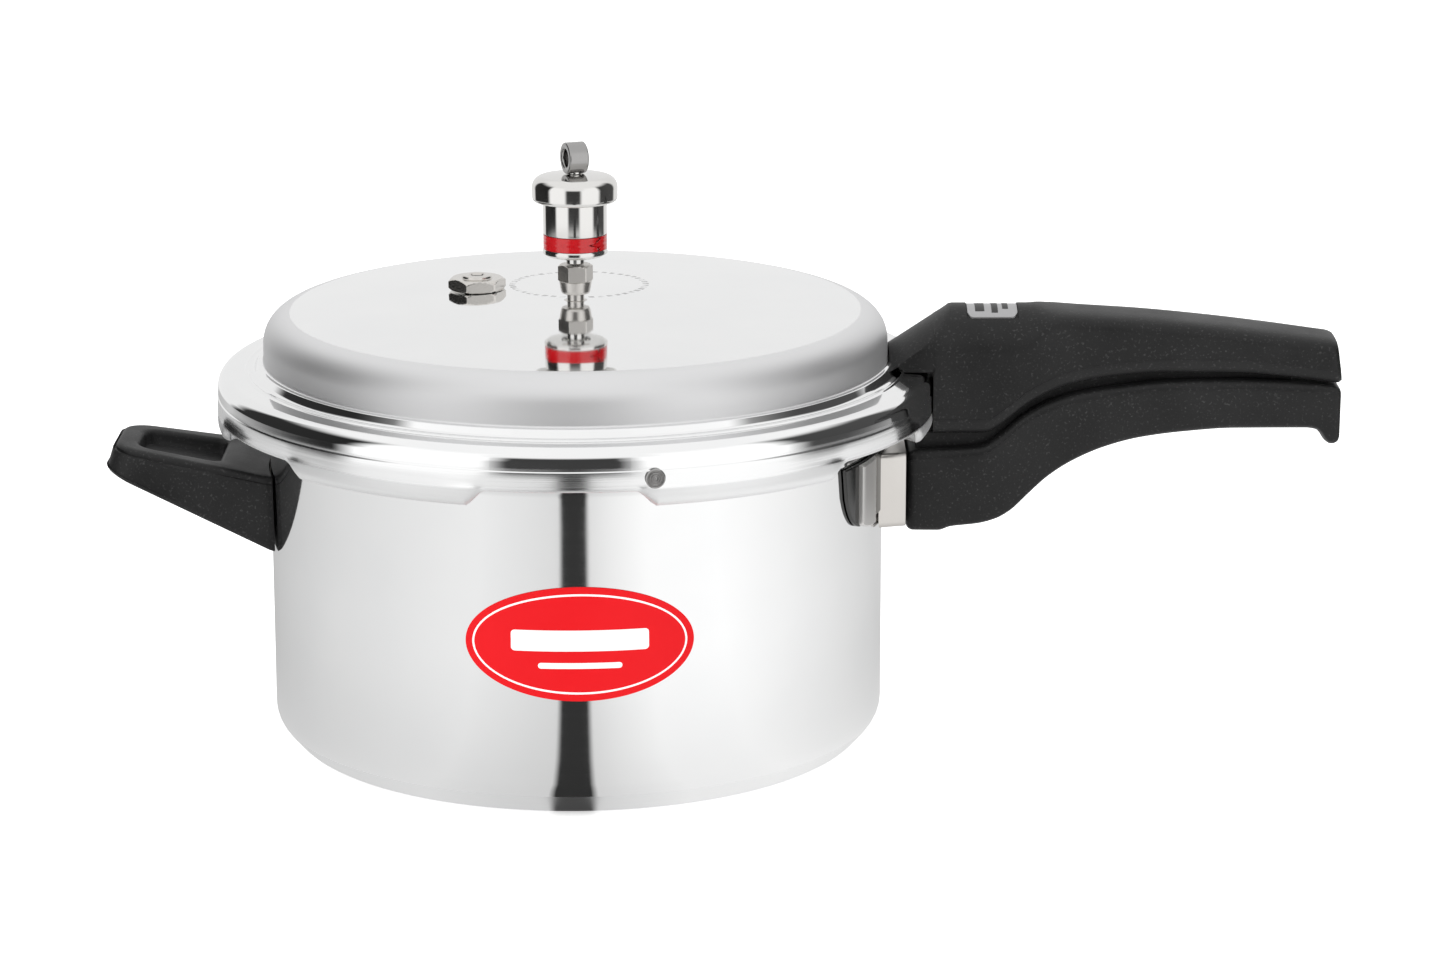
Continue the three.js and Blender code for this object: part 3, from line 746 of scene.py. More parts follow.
def makeRegulator():
    s = regulatorShape
    radius, low, neck = s["radius"], s["low"], s["neck"]
    weight = filleted([
        (0, 184), (4.3, 184), (4.3, low + 3, 0.5), (5.3, low, 0.2), (radius - 1.1, low, 0.3),
        (radius + 0.15, low + 0.9, 0.5), (radius + 0.15, s["bandLow"] - 0.5, 0.2),
        (radius - 0.1, s["bandLow"], 0.1), (radius - 0.85, s["bandLow"], 0.1),
        (radius - 0.85, s["bandHigh"], 0.1), (radius, s["bandHigh"], 0.25), (radius, neck), (6, neck),
        (6, 194.5), (0, 194.5)])
    body = turnedPiece("regulatorWeight", weight, "regulator", metal["regulatorChrome"])
    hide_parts("regulator_weight")
    cap = filleted([
        (0, 194.9), (6.3, 194.9), (6.3, neck + 0.3), (s["cap"] - 0.1, neck + 0.3, 1.5),
        (s["cap"], s["capTop"] - 0.9, 4.0), (6, s["capTop"] - 0.2, 8), (0, s["capTop"])], arcStep=6)
    top = turnedPiece("regulatorCap", cap, "regulator", metal["regulatorChrome"])
    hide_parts("regulator_cap")
    needle = filleted([(0, 165.2), (1.1, 166.6, 0.2), (1.1, 168.6), (3.25, 168.6, 0.3), (3.3, 172, 0.3),
                       (3.8, 172.5), (3.8, 183.5), (0, 183.5)])
    pin = turnedPiece("regulatorNeedle", needle, "needle", metal["regulatorChrome"], 64)
    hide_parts("regulator_needle")


def makeEye():
    # a short tube on its side, with a neck that screws into the cap
    s = regulatorShape
    half, hole, radius = s["eyeHalf"], s["eyeHole"], s["eyeRadius"]
    tube = filleted([(hole, -half, 0.7), (radius, -half, 0.45), (radius, half, 0.45), (hole, half, 0.7)],
                    closed=True, arcStep=20)
    tube = subdivided(tube + tube[:1], 1.5)[:-1]
    turn = Matrix.Rotation(math.radians(s["eyeTurn"]), 4, "Z")
    pose = turn @ Matrix.Translation((0, 0, s["eyeZ"])) @ Matrix.Rotation(math.pi / 2, 4, "Y")
    eye = turnedPiece("liftingEye", tube, "regulator", metal["darkSteel"], 96, closed=True,
                      pose=pose)
    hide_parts("regulator_ring")
    low = s["capTop"] + 0.03
    foot = filleted([(0, low), (2.6, low, 0.2), (2.3, s["capTop"] + 1.2), (0, s["capTop"] + 1.3)])
    turnedPiece("eyeFoot", foot, "regulator", metal["regulatorChrome"], 64)


bandSplit = {"from": -44, "to": 310, "levels": 12, "steps": 150}


def makeBand():
    # enamel band with a crooked split
    s = regulatorShape
    inner, outer = s["radius"] - 0.5, s["radius"] - 0.02
    low, high = s["bandLow"] + 0.12, s["bandHigh"] - 0.12
    levels, steps = bandSplit["levels"], bandSplit["steps"]
    rings = []
    for k in range(steps + 1):
        ring = []
        for i in range(levels + 1):
            share = i / levels
            z = mix(low, high, share)
            jag = 0.16 * math.sin(share * 9.5) + 0.09 * math.sin(share * 21 + 1)
            angle = math.radians(mix(bandSplit["from"], bandSplit["to"], k / steps)) + jag
            ring.append((outer * math.cos(angle), outer * math.sin(angle), z))
        ring += [(x * inner / outer, y * inner / outer, z) for x, y, z in reversed(ring)]
        rings.append(ring)
    band = loftedPiece("regulatorBand", rings, "regulator", plain["redBand"])
    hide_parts("regulator_band")


makeRegulator()
makeEye()
makeBand()
print("regulator made")


def archedRing(half, low, high, arch, power, foot, parting=None):
    # (y, z) from the bottom's middle round the +y side: turned-in foot, moulding line, drafted side, arch
    footReach = foot * 0.9
    side = [(0, low), (half * 0.4, low), (half - footReach, low)]
    lineZ = low + foot if parting is None else low + parting
    for k in range(1, 6):
        turn = math.pi / 2 * k / 5
        side.append((half - footReach + footReach * math.sin(turn), lineZ - (lineZ - low) * math.cos(turn)))
    side += [(half + 0.13, lineZ + 0.12), (half + 0.13, lineZ + 0.38), (half - 0.02, lineZ + 0.5)]
    springZ = max(high - arch, lineZ + 1)
    draft = 0.6
    for k in range(1, 9):
        side.append((half - draft * k / 8, lineZ + 0.5 + (springZ - lineZ - 0.5) * k / 8))
    width = half - draft
    for k in range(1, 25):
        turn = math.pi / 2 * k / 24
        rise = (high - springZ) * math.sin(turn) ** (2 / power)
        side.append((width * math.cos(turn) ** (2 / power), springZ + rise))
    mirrored = [(-y, z) for y, z in reversed(side[1:-1])]
    return side + mirrored


def roundedBox(half, low, high, radius, steps=6):
    # (y, z) outline with rounded corners
    outline = []
    for cy, cz, start in ((half - radius, high - radius, 0), (-half + radius, high - radius, 90),
                          (-half + radius, low + radius, 180), (half - radius, low + radius, 270)):
        for k in range(steps + 1):
            turn = math.radians(start + 90 * k / steps)
            outline.append((cy + radius * math.cos(turn), cz + radius * math.sin(turn)))
    return outline


def stations(start, end, step, extra=()):
    count = math.ceil((end - start) / step)
    return sorted([start + (end - start) * k / count for k in range(count + 1)] + list(extra))


def shrunk(ring, share):
    middle = sum(z for y, z in ring) / len(ring)
    return [(y * share, middle + (z - middle) * share) for y, z in ring]


# crest and bottom are (x, z) knots along each handle
upperHandle = {
    "block": 17, "grip": 14.6, "nose": 109.4, "notch": 125.7, "end": 266.2, "partingRise": 4.4,
    "blockArch": 15.5, "gripArch": 6.2, "noseLow": 133.1, "rampZ": 139.8, "rampSlope": 0.665,
    "rampHollow": 0.0215,
    "crest": [(105, 154.2), (160, 154.3), (166, 153.4), (174, 152.8), (197, 151.3), (220, 149.1), (243, 146.3),
              (266, 143.3)],
    "bottom": [(125.7, 111.6), (143, 111.7), (149, 115.1), (156.5, 121.0), (164, 125.2), (173, 128.6),
               (186, 131.0), (207, 132.6), (230, 132.4), (250, 130.6), (266, 128.2)]}
insertShape = {"from": 136.3, "to": 154.2, "half": 9.4, "sink": 1.0, "corner": 2.2,
               "bars": ((140.9, 1.6, 6.2), (146.1, 1.1, 7.0), (149.8, 1.0, 4.6))}


def makeLidHandle():
    s = upperHandle
    crest, bottom = curveThrough(s["crest"]), curveThrough(s["bottom"])
    gap = 0.03
    edges = [insertShape["from"] - gap, insertShape["from"], insertShape["to"], insertShape["to"] + gap]
    xs = stations(s["nose"], s["notch"] - gap, 0.8) + stations(s["notch"], s["end"], 1.2, edges)
    rings = []
    for x in xs:
        overFlange = x < s["notch"] - gap / 2
        low = s["noseLow"] + 4 * smooth((114.6 - x) / 5) if overFlange else bottom(x)
        toGrip = smooth((x - 150) / 26)
        half = mix(s["block"], s["grip"], toGrip) - 0.6 * smooth((x - 235) / 30)
        arch = mix(s["blockArch"], s["gripArch"], smooth((x - 154) / 16))
        arch = min(arch, crest(x) - low - (1.5 if overFlange else 6))
        power = 2.0 + 1.4 * smooth((x - 158) / 10)
        foot = 0.8 if overFlange else 2.6
        ring = archedRing(half, low, crest(x), arch, power, foot, None if overFlange else s["partingRise"])
        shaped = []
        for y, z in ring:
            if x < 134:
                ramp = s["rampZ"] + (x - s["nose"]) * s["rampSlope"] - s["rampHollow"] * y * y
                z = min(z, ramp + 0.35 * smooth((x - 128) / 6))
            if insertShape["from"] <= x <= insertShape["to"] and abs(y) < insertShape["half"] and z > 140:
                z -= insertShape["sink"]
            shaped.append((y, z))
        atEnd = smooth((x - 240) / 26)
        ends = 1 - 0.10 * max(0, (x - (s["end"] - 3)) / 3) ** 3
        points = []
        for y, z in shrunk(shaped, ends):
            px = x + atEnd * (136 - z) * 0.13
            if px < 112 or (overFlange and x < 111):
                px = max(px, math.sqrt(max(s["nose"] ** 2 - y * y, 0)) + (x - s["nose"]))
            if abs(x - s["notch"]) < gap * 2:
                px = math.sqrt(s["notch"] ** 2 - y * y) + (x - s["notch"])
            points.append((px, y, z))
        rings.append(points)
    handle = loftedPiece("lidHandle", rings, "lid", blackBakelite, 24)
    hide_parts("lid_handle")
    makeInsert(crest)


def makeInsert(crest):
    # grey printed plate that follows the handle's arch, with blank printed bars
    s = insertShape
    start, end, half = s["from"] + 0.25, s["to"] - 0.25, s["half"] - 0.35

    def surface(x, y, lift):
        width = upperHandle["block"] - 0.6
        drop = upperHandle["blockArch"] * roundOff(y / width)
        return (x, y, crest(x) - drop - s["sink"] + lift)

    def plate(x0, x1, y0, y1, low, high, corner):
        rings = []
        columns = 16
        for k in range(columns + 1):
            x = mix(x0, x1, k / columns)
            inset = max(0, corner - min(x - x0, x1 - x))
            cut = corner * roundOff(inset / corner) if corner else 0
            ys = [mix(y0 + cut, y1 - cut, i / 20) for i in range(21)]
            rings.append([surface(x, y, low) for y in ys] + [surface(x, y, high) for y in reversed(ys)])
        return rings

    sheet = loftedPiece("handleInsert", plate(start, end, -half, half, 0.08, 0.62, s["corner"]), "lid",
                        plain["insertGrey"])
    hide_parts("lid_handle_plate")
    for i, (x, wide, long) in enumerate(s["bars"]):
        bar = plate(x - wide, x + wide, -long, long, 0.63, 0.70, 0)
        loftedPiece(f"insertBar{i + 1}", bar, "lid", plain["blackInk"])


lowerHandle = {
    "block": 17, "grip": 14.4, "start": 115.6, "end": 266.8, "corner": 2.4, "tail": 2.2, "tailRound": 1.6,
    "foot": 2.6, "arch": 3.2, "archPower": 2.3, "screwX": 124, "screwHole": 5, "screwSeat": 78.7,
    "crest": [(115, 105.0), (141, 106.4), (147, 109.6), (156, 117.0), (164, 121.3), (174, 124.6), (187, 127.0),
              (208, 129.2), (230, 129.6), (250, 128.9), (268, 127.0)],
    "bottom": [(115, 74.8), (127, 74.7), (131, 76.0), (141, 77.2), (147, 78.8), (152, 81.6), (158, 87.2),
               (165, 93.6), (174, 99.5), (185, 104.4), (197, 107.7), (212, 109.8), (230, 111.1), (255, 111.2),
               (258.6, 110.7), (260.6, 109.0), (262.2, 106.6), (264, 105.5), (268, 105.9)]}


def makePotHandle():
    s = lowerHandle
    crest, bottom = curveThrough(s["crest"]), curveThrough(s["bottom"])
    xs = stations(s["start"], 256, 1.1, [s["start"] + 0.3, s["start"] + 0.7])
    xs += stations(256.4, s["end"], 0.4)
    rings = []
    for x in xs:
        half = mix(s["block"], s["grip"], smooth((x - 140) / 32))
        cornerIn = s["corner"] * roundOff(max(s["corner"] - (x - s["start"]), 0) / s["corner"])
        tailIn = s["tailRound"] * roundOff(max(0, (x - (s["end"] - s["tail"])) / s["tail"]))
        low, high = bottom(x), crest(x)
        foot = s["foot"] - 0.9 * smooth((x - 255) / 6)
        ring = archedRing(half, low, high, s["arch"], s["archPower"], foot, foot)
        flipped = [(y, low + high - z) for y, z in ring]
        inset = cornerIn + tailIn
        scaleY = (half - inset) / half
        scaleZ = ((high - low) / 2 - inset) / ((high - low) / 2)
        middle = (high + low) / 2
        rings.append([(x, y * scaleY, middle + (z - middle) * scaleZ) for y, z in reversed(flipped)])
    handle = loftedPiece("potHandle", rings, "pot", blackBakelite, 38)
    cutRoundWell(handle, s["screwX"], s["screwHole"], 70, s["screwSeat"])
    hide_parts("pot_handle")


ribShape = {"from": 119, "to": 250, "half": 11, "narrower": 3.5, "clear": 0.8}


def makeRib():
    # tongue on top of the lower handle that the upper one slides over, and a black stand-in that fills the gap
    # between the handles with shade
    s = ribShape
    crest, above = curveThrough(lowerHandle["crest"]), curveThrough(upperHandle["bottom"])
    rings = []
    for x in stations(s["from"], s["to"], 1.6):
        half = s["half"] - s["narrower"] * smooth((x - 140) / 32)
        outline = roundedBox(half, crest(x) - 1.5, above(x) - s["clear"], 0.5)
        rings.append([(x, y, z) for y, z in outline])
    loftedPiece("handleRib", rings, "pot", blackBakelite)


makeLidHandle()
makePotHandle()
makeRib()
print("long handles lofted")


saddleShape = {"inner": 107.9, "outer": 109.2, "half": 31.3, "straight": 25, "low": 86, "high": 108.2,
               "curl": 21.5, "soft": 0.3}


def strapSection(inner, outer, low, high, soft, angle):
    # cross-section of a strap bent round the pot, outer edges softened
    section = [(inner, low), (outer - soft, low), (outer, low + soft), (outer, high - soft),
               (outer - soft, high), (inner, high)]
    return [(r * math.cos(angle), r * math.sin(angle), z) for r, z in section]


def makeSaddle():
    # stainless strap wrapped on the wall, its lower corners rounded away; its colour is painted dark as a
    # stand-in for the dark reflection of the handle
    s = saddleShape
    rings = []
    for k in range(89):
        degrees = -s["half"] + 2 * s["half"] * k / 88
        past = max(0, abs(degrees) - s["straight"]) / (s["half"] - s["straight"])
        low = s["low"] + s["curl"] * roundOff(past)
        rings.append(strapSection(s["inner"], s["outer"], low, s["high"], s["soft"], math.radians(degrees)))
    strap = loftedPiece("potSaddle", rings, "pot", metal["blackenedSteel"])
    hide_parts("pot_bracket")


earShape = {"from": 18, "to": 26.2, "low": 84.1, "high": 108, "rise": 2.8, "wallRadius": 108.9,
            "nearRadius": 109.95, "farRadius": 111.1, "round": 0.5}


def makeEar(name, side):
    # raised end of the strap, standing a little proud at its outer edge; matt steel whose tint is also raised to
    # paint it lighter, as if lit
    s = earShape
    rings = []
    for k in range(17):
        share = k / 16
        angle = side * math.radians(mix(s["from"], s["to"], share))
        outer = mix(s["nearRadius"], s["farRadius"], share)
        atEnds = max(0, abs(share - 0.5) * 2 - 0.88) / 0.12
        outer -= s["round"] * atEnds**2
        low = s["low"] + s["rise"] * share**2 + 0.6 * atEnds**2
        rings.append(strapSection(s["wallRadius"], outer, low, s["high"], s["round"], angle))
    loftedPiece(name, rings if side > 0 else rings[::-1], "pot", metal["mattSteel"])


guardShape = {"from": 108.6, "to": 115.2, "half": 22.8, "wallHalf": 25.4, "low": 79.4, "high": 105.9,
              "round": 2.2, "thick": 1.0}


def makeGuard():
    # box-like sleeve between the pot wall and the lower handle, open at both ends
    s = guardShape

    def ring(share, inset):
        half = mix(s["wallHalf"], s["half"], share) - inset
        placed = []
        for y, z in roundedBox(half, s["low"] + inset, s["high"] - inset, s["round"] - inset * 0.8):
            wallX = math.sqrt(s["from"] ** 2 - y * y)
            placed.append((mix(wallX, s["to"], share), y, z))
        return placed

    rows = [ring(share, s["thick"]) for share in (1, 0.5, 0)]
    rows += [ring(0, 0), ring(0.5, 0), ring(0.94, 0), ring(0.985, 0.08), ring(1, 0.35)]
    points = [point for row in rows for point in row]
    faces = bridged(len(rows[0]), len(rows), loop=True)
    guard = addPiece("flameGuard", points, faces, "pot", metal["satinSteel"])
    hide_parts("flame_guard")


tangShape = {"half": 7, "low": 83, "high": 97, "stations": (109.7, 112, 116, 130)}


def makeTang():
    # bar inside the guard and the handle
    s = tangShape
    outline = roundedBox(s["half"], s["low"], s["high"], 1)
    rings = [[(x, y, z) for y, z in outline] for x in s["stations"]]
    loftedPiece("potTang", rings, "pot", metal["bracketSteel"])


makeSaddle()
makeEar("potEarFront", -1)
makeEar("potEarBack", 1)
makeGuard()
makeTang()
print("brackets made")


def roundedOutline(corners, radii, sideSteps, cornerSteps):
    count = len(corners)
    arcs = [cornerArc(corners[i - 1], corners[i], corners[(i + 1) % count], radii[i], cornerSteps)
            for i in range(count)]
    points = []
    for arc, following in zip(arcs, arcs[1:] + arcs[:1]):
        leave, arrive = Vector(arc[-1]), Vector(following[0])
        points += [Vector(point) for point in arc]
        points += [leave + (arrive - leave) * k / sideSteps for k in range(1, sideSteps)]
    return points


helperShape = {"wall": 108.15, "potX": -104, "potHalf": 30, "potRound": 2.4, "endX": -164, "endHalf": 21.5,
               "endRound": 10, "draft": 2.6, "topAtPot": 97.7, "topAtEnd": 108.0, "lowAtPot": 71.6,
               "lowAtEnd": 98.6, "lowRound": 1.6, "well": 5, "wellNear": (-124.6, 15.2),
               "wellFar": (-153.4, 12.4), "wellLip": 1.8, "screwX": -116, "screwHole": 4.6, "screwSeat": 80.6}


def makeHelper():
    s = helperShape
    wall, lip = s["wall"], s["wellLip"]

    def outline(inset):
        # plan of the grip, hollowed where it meets the pot wall
        half, end = s["potHalf"] - inset, s["endHalf"] - inset
        potX = -math.sqrt(wall**2 - half**2)
        corners = [(potX, -half), (potX, half), (s["endX"] + inset, end), (s["endX"] + inset, -end)]
        points = roundedOutline(corners, [s["potRound"]] * 2 + [s["endRound"]] * 2, 26, 8)
        kept = []
        for point in points:
            limit = -math.sqrt(wall**2 - min(abs(point.y), wall) ** 2)
            onWall = point.x > potX - 0.6 and abs(point.y) < half - 0.2
            kept.append((limit if onWall else min(point.x, limit), point.y))
        return kept

    def wellOutline(inset):
        (nearX, nearHalf), (farX, farHalf) = s["wellNear"], s["wellFar"]
        corners = [(nearX - inset, -nearHalf + inset), (nearX - inset, nearHalf - inset),
                   (farX + inset, farHalf - inset), (farX + inset, -farHalf + inset)]
        radii = [max(3 - inset, 0.8)] * 2 + [max(7 - inset, 2)] * 2
        return [(point.x, point.y) for point in roundedOutline(corners, radii, 26, 8)]

    def between(atPot, atEnd, x):
        return mix(atPot, atEnd, (x - s["potX"]) / (s["endX"] - s["potX"]))

    def ring(points, height):
        return [(x, y, height(x)) for x, y in points]

    def low(x):
        return between(s["lowAtPot"], s["lowAtEnd"], x)

    def top(x):
        return between(s["topAtPot"], s["topAtEnd"], x)

    rings = [ring(outline(9), low), ring(outline(2.2), low)]
    for k in range(1, 5):
        turn = math.pi / 2 * k / 4
        inset = s["lowRound"] * (1 - math.sin(turn))
        rings.append(ring(outline(inset), lambda x, c=math.cos(turn): low(x) + s["lowRound"] * (1 - c)))
    for share in (0.12, 0.25, 0.4, 0.55, 0.7, 0.82):
        rings.append(ring(outline(s["draft"] * share), lambda x, f=share: mix(low(x), top(x), f)))
    for inset, below in ((0, 2.6), (0.5, 2.3), (0.55, 2.0)):  # shadow groove under the rim
        rings.append(ring(outline(s["draft"] + inset), lambda x, d=below: top(x) - d))
    for k in range(1, 6):
        turn = math.pi / 2 * k / 5
        rings.append(ring(outline(s["draft"] + 0.5 + 2.0 * (1 - math.cos(turn))),
                          lambda x, v=math.sin(turn): top(x) - 1.8 + 1.8 * v))
    rim = outline(s["draft"] + 2.6)
    for share in (0.33, 0.66):
        rings.append(ring([mixPoints(a, b, share) for a, b in zip(rim, wellOutline(-lip))], top))
    for k in range(5):
        turn = math.pi / 2 * k / 4
        rings.append(ring(wellOutline(-lip * (1 - math.sin(turn))),
                          lambda x, c=math.cos(turn): top(x) - lip * (1 - c)))
    well = s["well"]
    for depth, inset in ((3.4, 0.3), (well - 1, 0.5), (well - 0.3, 0.8), (well, 1.5), (well, 6)):
        rings.append(ring(wellOutline(inset), lambda x, d=depth: top(x) - d * between(1.15, 0.95, x)))
    helper = loftedPiece("helperHandle", rings, "pot", blackBakelite, 40)
    cutRoundWell(helper, s["screwX"], s["screwHole"], 60, s["screwSeat"])
    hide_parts("helper_handle")


makeHelper()
print("helper handle made")


labelShape = {"azimuth": 2.2, "halfWide": 38.7, "halfTall": 19.7, "z": 62, "under": 107.62, "lift": 0.14,
              "line": 2.4, "field": 3.1, "print": 0.02, "bar": (0, 1.2, 23, 3.6), "dash": (0, -7.4, 14, 1.0),
              "barRound": 1.3}


def curvedPatch(name, inside, level, thick, material, columns=72, rows=28):
    # inside(u) gives the lowest and highest z at arc position u, from -1 to 1
    s = labelShape
    rings = []
    for k in range(columns + 1):
        u = -math.cos(math.pi * k / columns)
        low, high, along = inside(u)
        angle = math.radians(-90 + s["azimuth"]) + along / potShape["radius"]
        column = [mix(low, high, i / rows) for i in range(rows + 1)]
        front = [((level + thick) * math.cos(angle), (level + thick) * math.sin(angle), z) for z in column]
        rear = [(level * math.cos(angle), level * math.sin(angle), z) for z in reversed(column)]
        rings.append(front + rear)
    return loftedPiece(name, rings, "pot", material)


def makeLabel():
    # red oval with a white line inside its edge, a blank white bar and a dash
    s = labelShape

    def oval(inset):
        def shape(u):
            tall = max(math.sqrt(max(1 - u * u, 0)), 0.02) * (s["halfTall"] - inset)
            return s["z"] - tall, s["z"] + tall, u * (s["halfWide"] - inset)
        return shape

    def pill(centreX, above, halfWide, halfTall):
        corner = min(halfTall, s["barRound"])

        def shape(u):
            past = max(0, abs(u) * halfWide - (halfWide - corner)) / corner
            tall = halfTall - corner + max(math.sqrt(max(1 - past**2, 0)), 0.05) * corner
            return s["z"] + above - tall, s["z"] + above + tall, centreX + u * halfWide
        return shape

    label = curvedPatch("frontLabel", oval(0), s["under"], s["lift"], plain["redLabel"])
    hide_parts("front_label")
    ink = s["under"] + s["lift"] + 0.01
    curvedPatch("labelLine", oval(s["line"]), ink, s["print"], plain["labelWhite"])
    curvedPatch("labelField", oval(s["field"]), ink + 0.03, s["print"], plain["redLabel"])
    curvedPatch("labelBar", pill(*s["bar"]), ink + 0.06, 0.03, plain["labelWhite"], 60, 6)
    curvedPatch("labelDash", pill(*s["dash"]), ink + 0.06, 0.03, plain["labelWhite"], 60, 4)


makeLabel()
print("label made")


# finishes on the nodes that keep their own shape
keptFinishes = {
    "turnedSteel": ["pot_handle_screw", "helper_screw", "lid_handle_screw", "vent_nut", "safety_valve_nut"],
    "bracketSteel": ["helper_bracket", "lid_bracket"],
    "rivetAlloy": ["pot_bracket_rivet_1", "pot_bracket_rivet_2", "helper_bracket_rivet_1",
                   "helper_bracket_rivet_2", "lid_bracket_rivet_1", "lid_bracket_rivet_2"],
    "sealRubber": ["gasket", "vent_washer", "safety_valve_washer"],
}
for finishName, nodeNames in keptFinishes.items():
    for nodeName in nodeNames:
        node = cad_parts[nodeName]
        for materialSlot in node.material_slots:
            materialSlot.material = bpy.data.materials[finishName]
        if not node.material_slots:
            node.data.materials.append(bpy.data.materials[finishName])


# brightness of the room round the object: degrees from the viewer's side, level, softly joined
roomLevels = [(-180, 0.88), (-134, 0.88), (-127, 0.03), (-74, 0.02), (-66, 1.15), (-26, 1.15), (-19, 0.05),
              (14, 0.05), (22, 1.15), (66, 1.15), (75, 0.06), (124, 0.08), (133, 0.9), (180, 0.88)]
tableLevels = [(-180, 0.55), (-150, 0.52), (-120, 0.64), (-85, 0.78), (-50, 0.88), (-30, 0.93), (-14, 0.84),
               (-4.1, 0.78), (-3.5, 0.035), (4.4, 0.035), (5.1, 0.80), (12, 0.92), (24, 1.08), (48, 1.12),
               (75, 0.98), (100, 0.84), (130, 0.70), (155, 0.66), (180, 0.55)]
# heights in degrees above the horizon; lengths in metres
studio = {"overhead": 1.0, "overheadRise": (30, 52), "viewerRise": (12, 30), "viewerSide": (0.82, 0.92),
          "table": 0.93, "tableHalf": 4, "tableDrop": 0.0002, "tableEdge": (0.60, 0.74), "floorGlow": 0.55,
          "nearPot": 0.86, "nearFade": (0.11, 0.32), "aim": (0.05, 0, 0.1)}
softboxes = {
    "topSoftbox": {"place": (0.1, 0.1, 1.5), "size": (1.1, 1.1), "power": 9},
    "frontSoftbox": {"place": (-0.9, -1.3, 1.0), "size": (0.9, 0.6), "power": 5},
}


def levelRamp(tree, degrees, levels):
    ramp = addNode(tree, "ValToRGB")
    stops = ramp.color_ramp.elements
    while len(stops) > 1:
        stops.remove(stops[-1])
    for i, (angle, level) in enumerate(levels):
        stop = stops[0] if i == 0 else stops.new((angle + 180) / 360)
        stop.color = (level, level, level, 1)
    tree.links.new(remap(tree, degrees, -180, 180, 0, 1), ramp.inputs[0])
    return ramp.outputs[0]


def makeStudioRound():
    # level of the room and of the table top in every direction round the object
    group = bpy.data.node_groups.new("studioRound", "ShaderNodeTree")
    group.interface.new_socket("Direction", in_out="INPUT", socket_type="NodeSocketVector")
    for label in ("Room", "Table"):
        group.interface.new_socket(label, in_out="OUTPUT", socket_type="NodeSocketColor")
    given, result = group.nodes.new("NodeGroupInput"), group.nodes.new("NodeGroupOutput")
    x, y = partsOf(group, given.outputs[0])[:2]
    angle = maths(group, "ARCTAN2", x, maths(group, "MULTIPLY", y, -1))
    degrees = maths(group, "MULTIPLY", angle, 180 / math.pi)
    group.links.new(levelRamp(group, degrees, roomLevels), result.inputs["Room"])
    group.links.new(levelRamp(group, degrees, tableLevels), result.inputs["Table"])
    return group


studioRound = makeStudioRound()


def makeRoom():
    world = bpy.data.worlds.new("studioRoom")
    world.use_nodes = True
    scene.world = world
    tree = world.node_tree
    background = next(node for node in tree.nodes if node.type == "BACKGROUND")
    direction = addNode(tree, "TexCoord").outputs["Generated"]
    room = addNode(tree, "Group", node_tree=studioRound)
    tree.links.new(direction, room.inputs[0])
    y, z = partsOf(tree, direction)[1:]
    rise = maths(tree, "MULTIPLY", maths(tree, "ARCSINE", z), 180 / math.pi)
    over = remap(tree, rise, *studio["overheadRise"], 0, 1, smooth=True)
    flat = maths(tree, "SQRT", maths(tree, "SUBTRACT", 1, maths(tree, "MULTIPLY", z, z)))
    towards = maths(tree, "DIVIDE", maths(tree, "MULTIPLY", y, -1), maths(tree, "MAXIMUM", flat, 0.001))
    viewerSide = remap(tree, towards, *studio["viewerSide"], 0, 1, smooth=True)
    viewerFade = remap(tree, rise, *studio["viewerRise"], 0, 1, smooth=True)
    over = maths(tree, "MAXIMUM", over, maths(tree, "MULTIPLY", viewerSide, viewerFade))
    light = mixColour(tree, over, room.outputs["Room"], (studio["overhead"],) * 3)
    seen = addNode(tree, "LightPath").outputs["Is Camera Ray"]
    tree.links.new(mixColour(tree, seen, light, (1, 1, 1)), background.inputs["Color"])


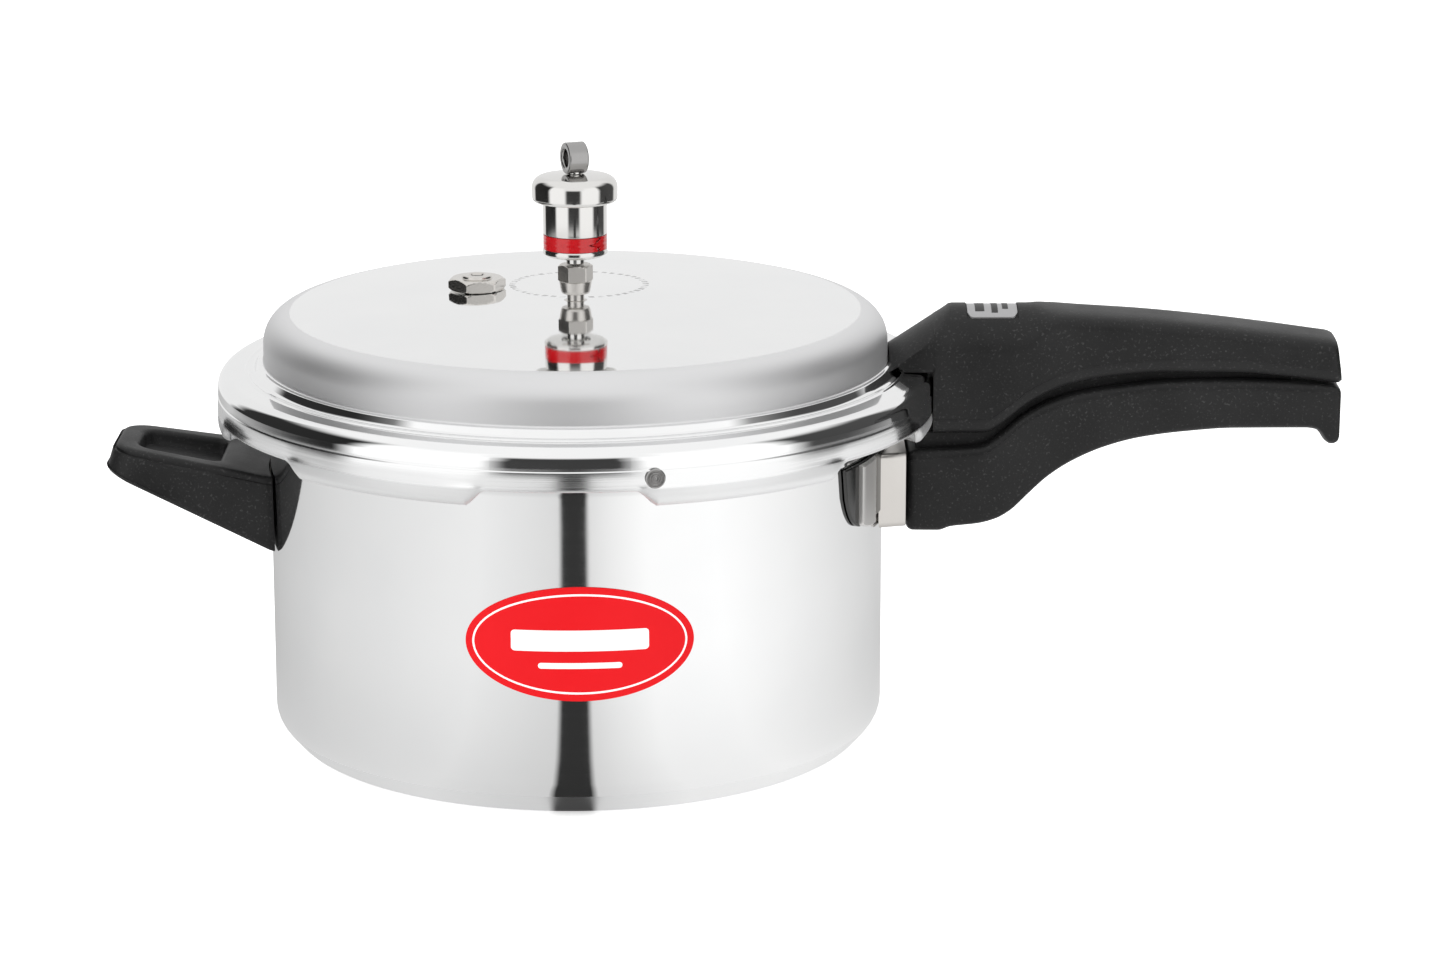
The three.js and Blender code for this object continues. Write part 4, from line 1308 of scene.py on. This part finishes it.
def makeFloor():
    # a pale table top; mirrors see it as a lit round table with the room beyond
    half = studio["tableHalf"]
    mesh = bpy.data.meshes.new("floor")
    corners = [(-half, -half, 0), (half, -half, 0), (half, half, 0), (-half, half, 0)]
    mesh.from_pydata(corners, [], [(0, 1, 2, 3)])
    floor = bpy.data.objects.new("floor", mesh)
    floor.location.z = -studio["tableDrop"]
    scene.collection.objects.link(floor)
    material, tree, shader = newMaterial("paleFloor", {
        "Roughness": 0.9, "Base Color": (*[studio["table"]] * 3, 1), "Emission Color": (1, 1, 1, 1),
        "Emission Strength": studio["floorGlow"]})
    place = addNode(tree, "NewGeometry").outputs["Position"]
    around = addNode(tree, "Group", node_tree=studioRound)
    tree.links.new(place, around.inputs[0])
    distance = addNode(tree, "VectorMath", operation="LENGTH")
    tree.links.new(place, distance.inputs[0])
    beyond = remap(tree, distance.outputs["Value"], *studio["tableEdge"], 0, 1, smooth=True)
    mirrored = addNode(tree, "Emission")
    level = mixColour(tree, beyond, around.outputs["Table"], around.outputs["Room"])
    tree.links.new(level, mirrored.inputs["Color"])
    shade = remap(tree, distance.outputs["Value"], *studio["nearFade"], studio["nearPot"], 1, smooth=True)
    tree.links.new(shade, mirrored.inputs["Strength"])
    swap = addNode(tree, "MixShader")
    tree.links.new(addNode(tree, "LightPath").outputs["Is Glossy Ray"], swap.inputs[0])
    tree.links.new(shader.outputs[0], swap.inputs[1])
    tree.links.new(mirrored.outputs[0], swap.inputs[2])
    output = next(node for node in tree.nodes if node.type == "OUTPUT_MATERIAL")
    tree.links.new(swap.outputs[0], output.inputs["Surface"])
    mesh.materials.append(material)


def addSoftbox(name, box):
    data = bpy.data.lights.new(name, "AREA")
    data.shape = "RECTANGLE"
    data.size, data.size_y = box["size"]
    data.energy = box["power"]
    light = bpy.data.objects.new(name, data)
    light.location = box["place"]
    light.rotation_euler = (Vector(studio["aim"]) - light.location).to_track_quat("-Z", "Y").to_euler()
    light.visible_glossy = False
    scene.collection.objects.link(light)


makeRoom()
makeFloor()
for boxName, softbox in softboxes.items():
    addSoftbox(boxName, softbox)
scene.view_settings.view_transform = "Standard"
print("studio lit")
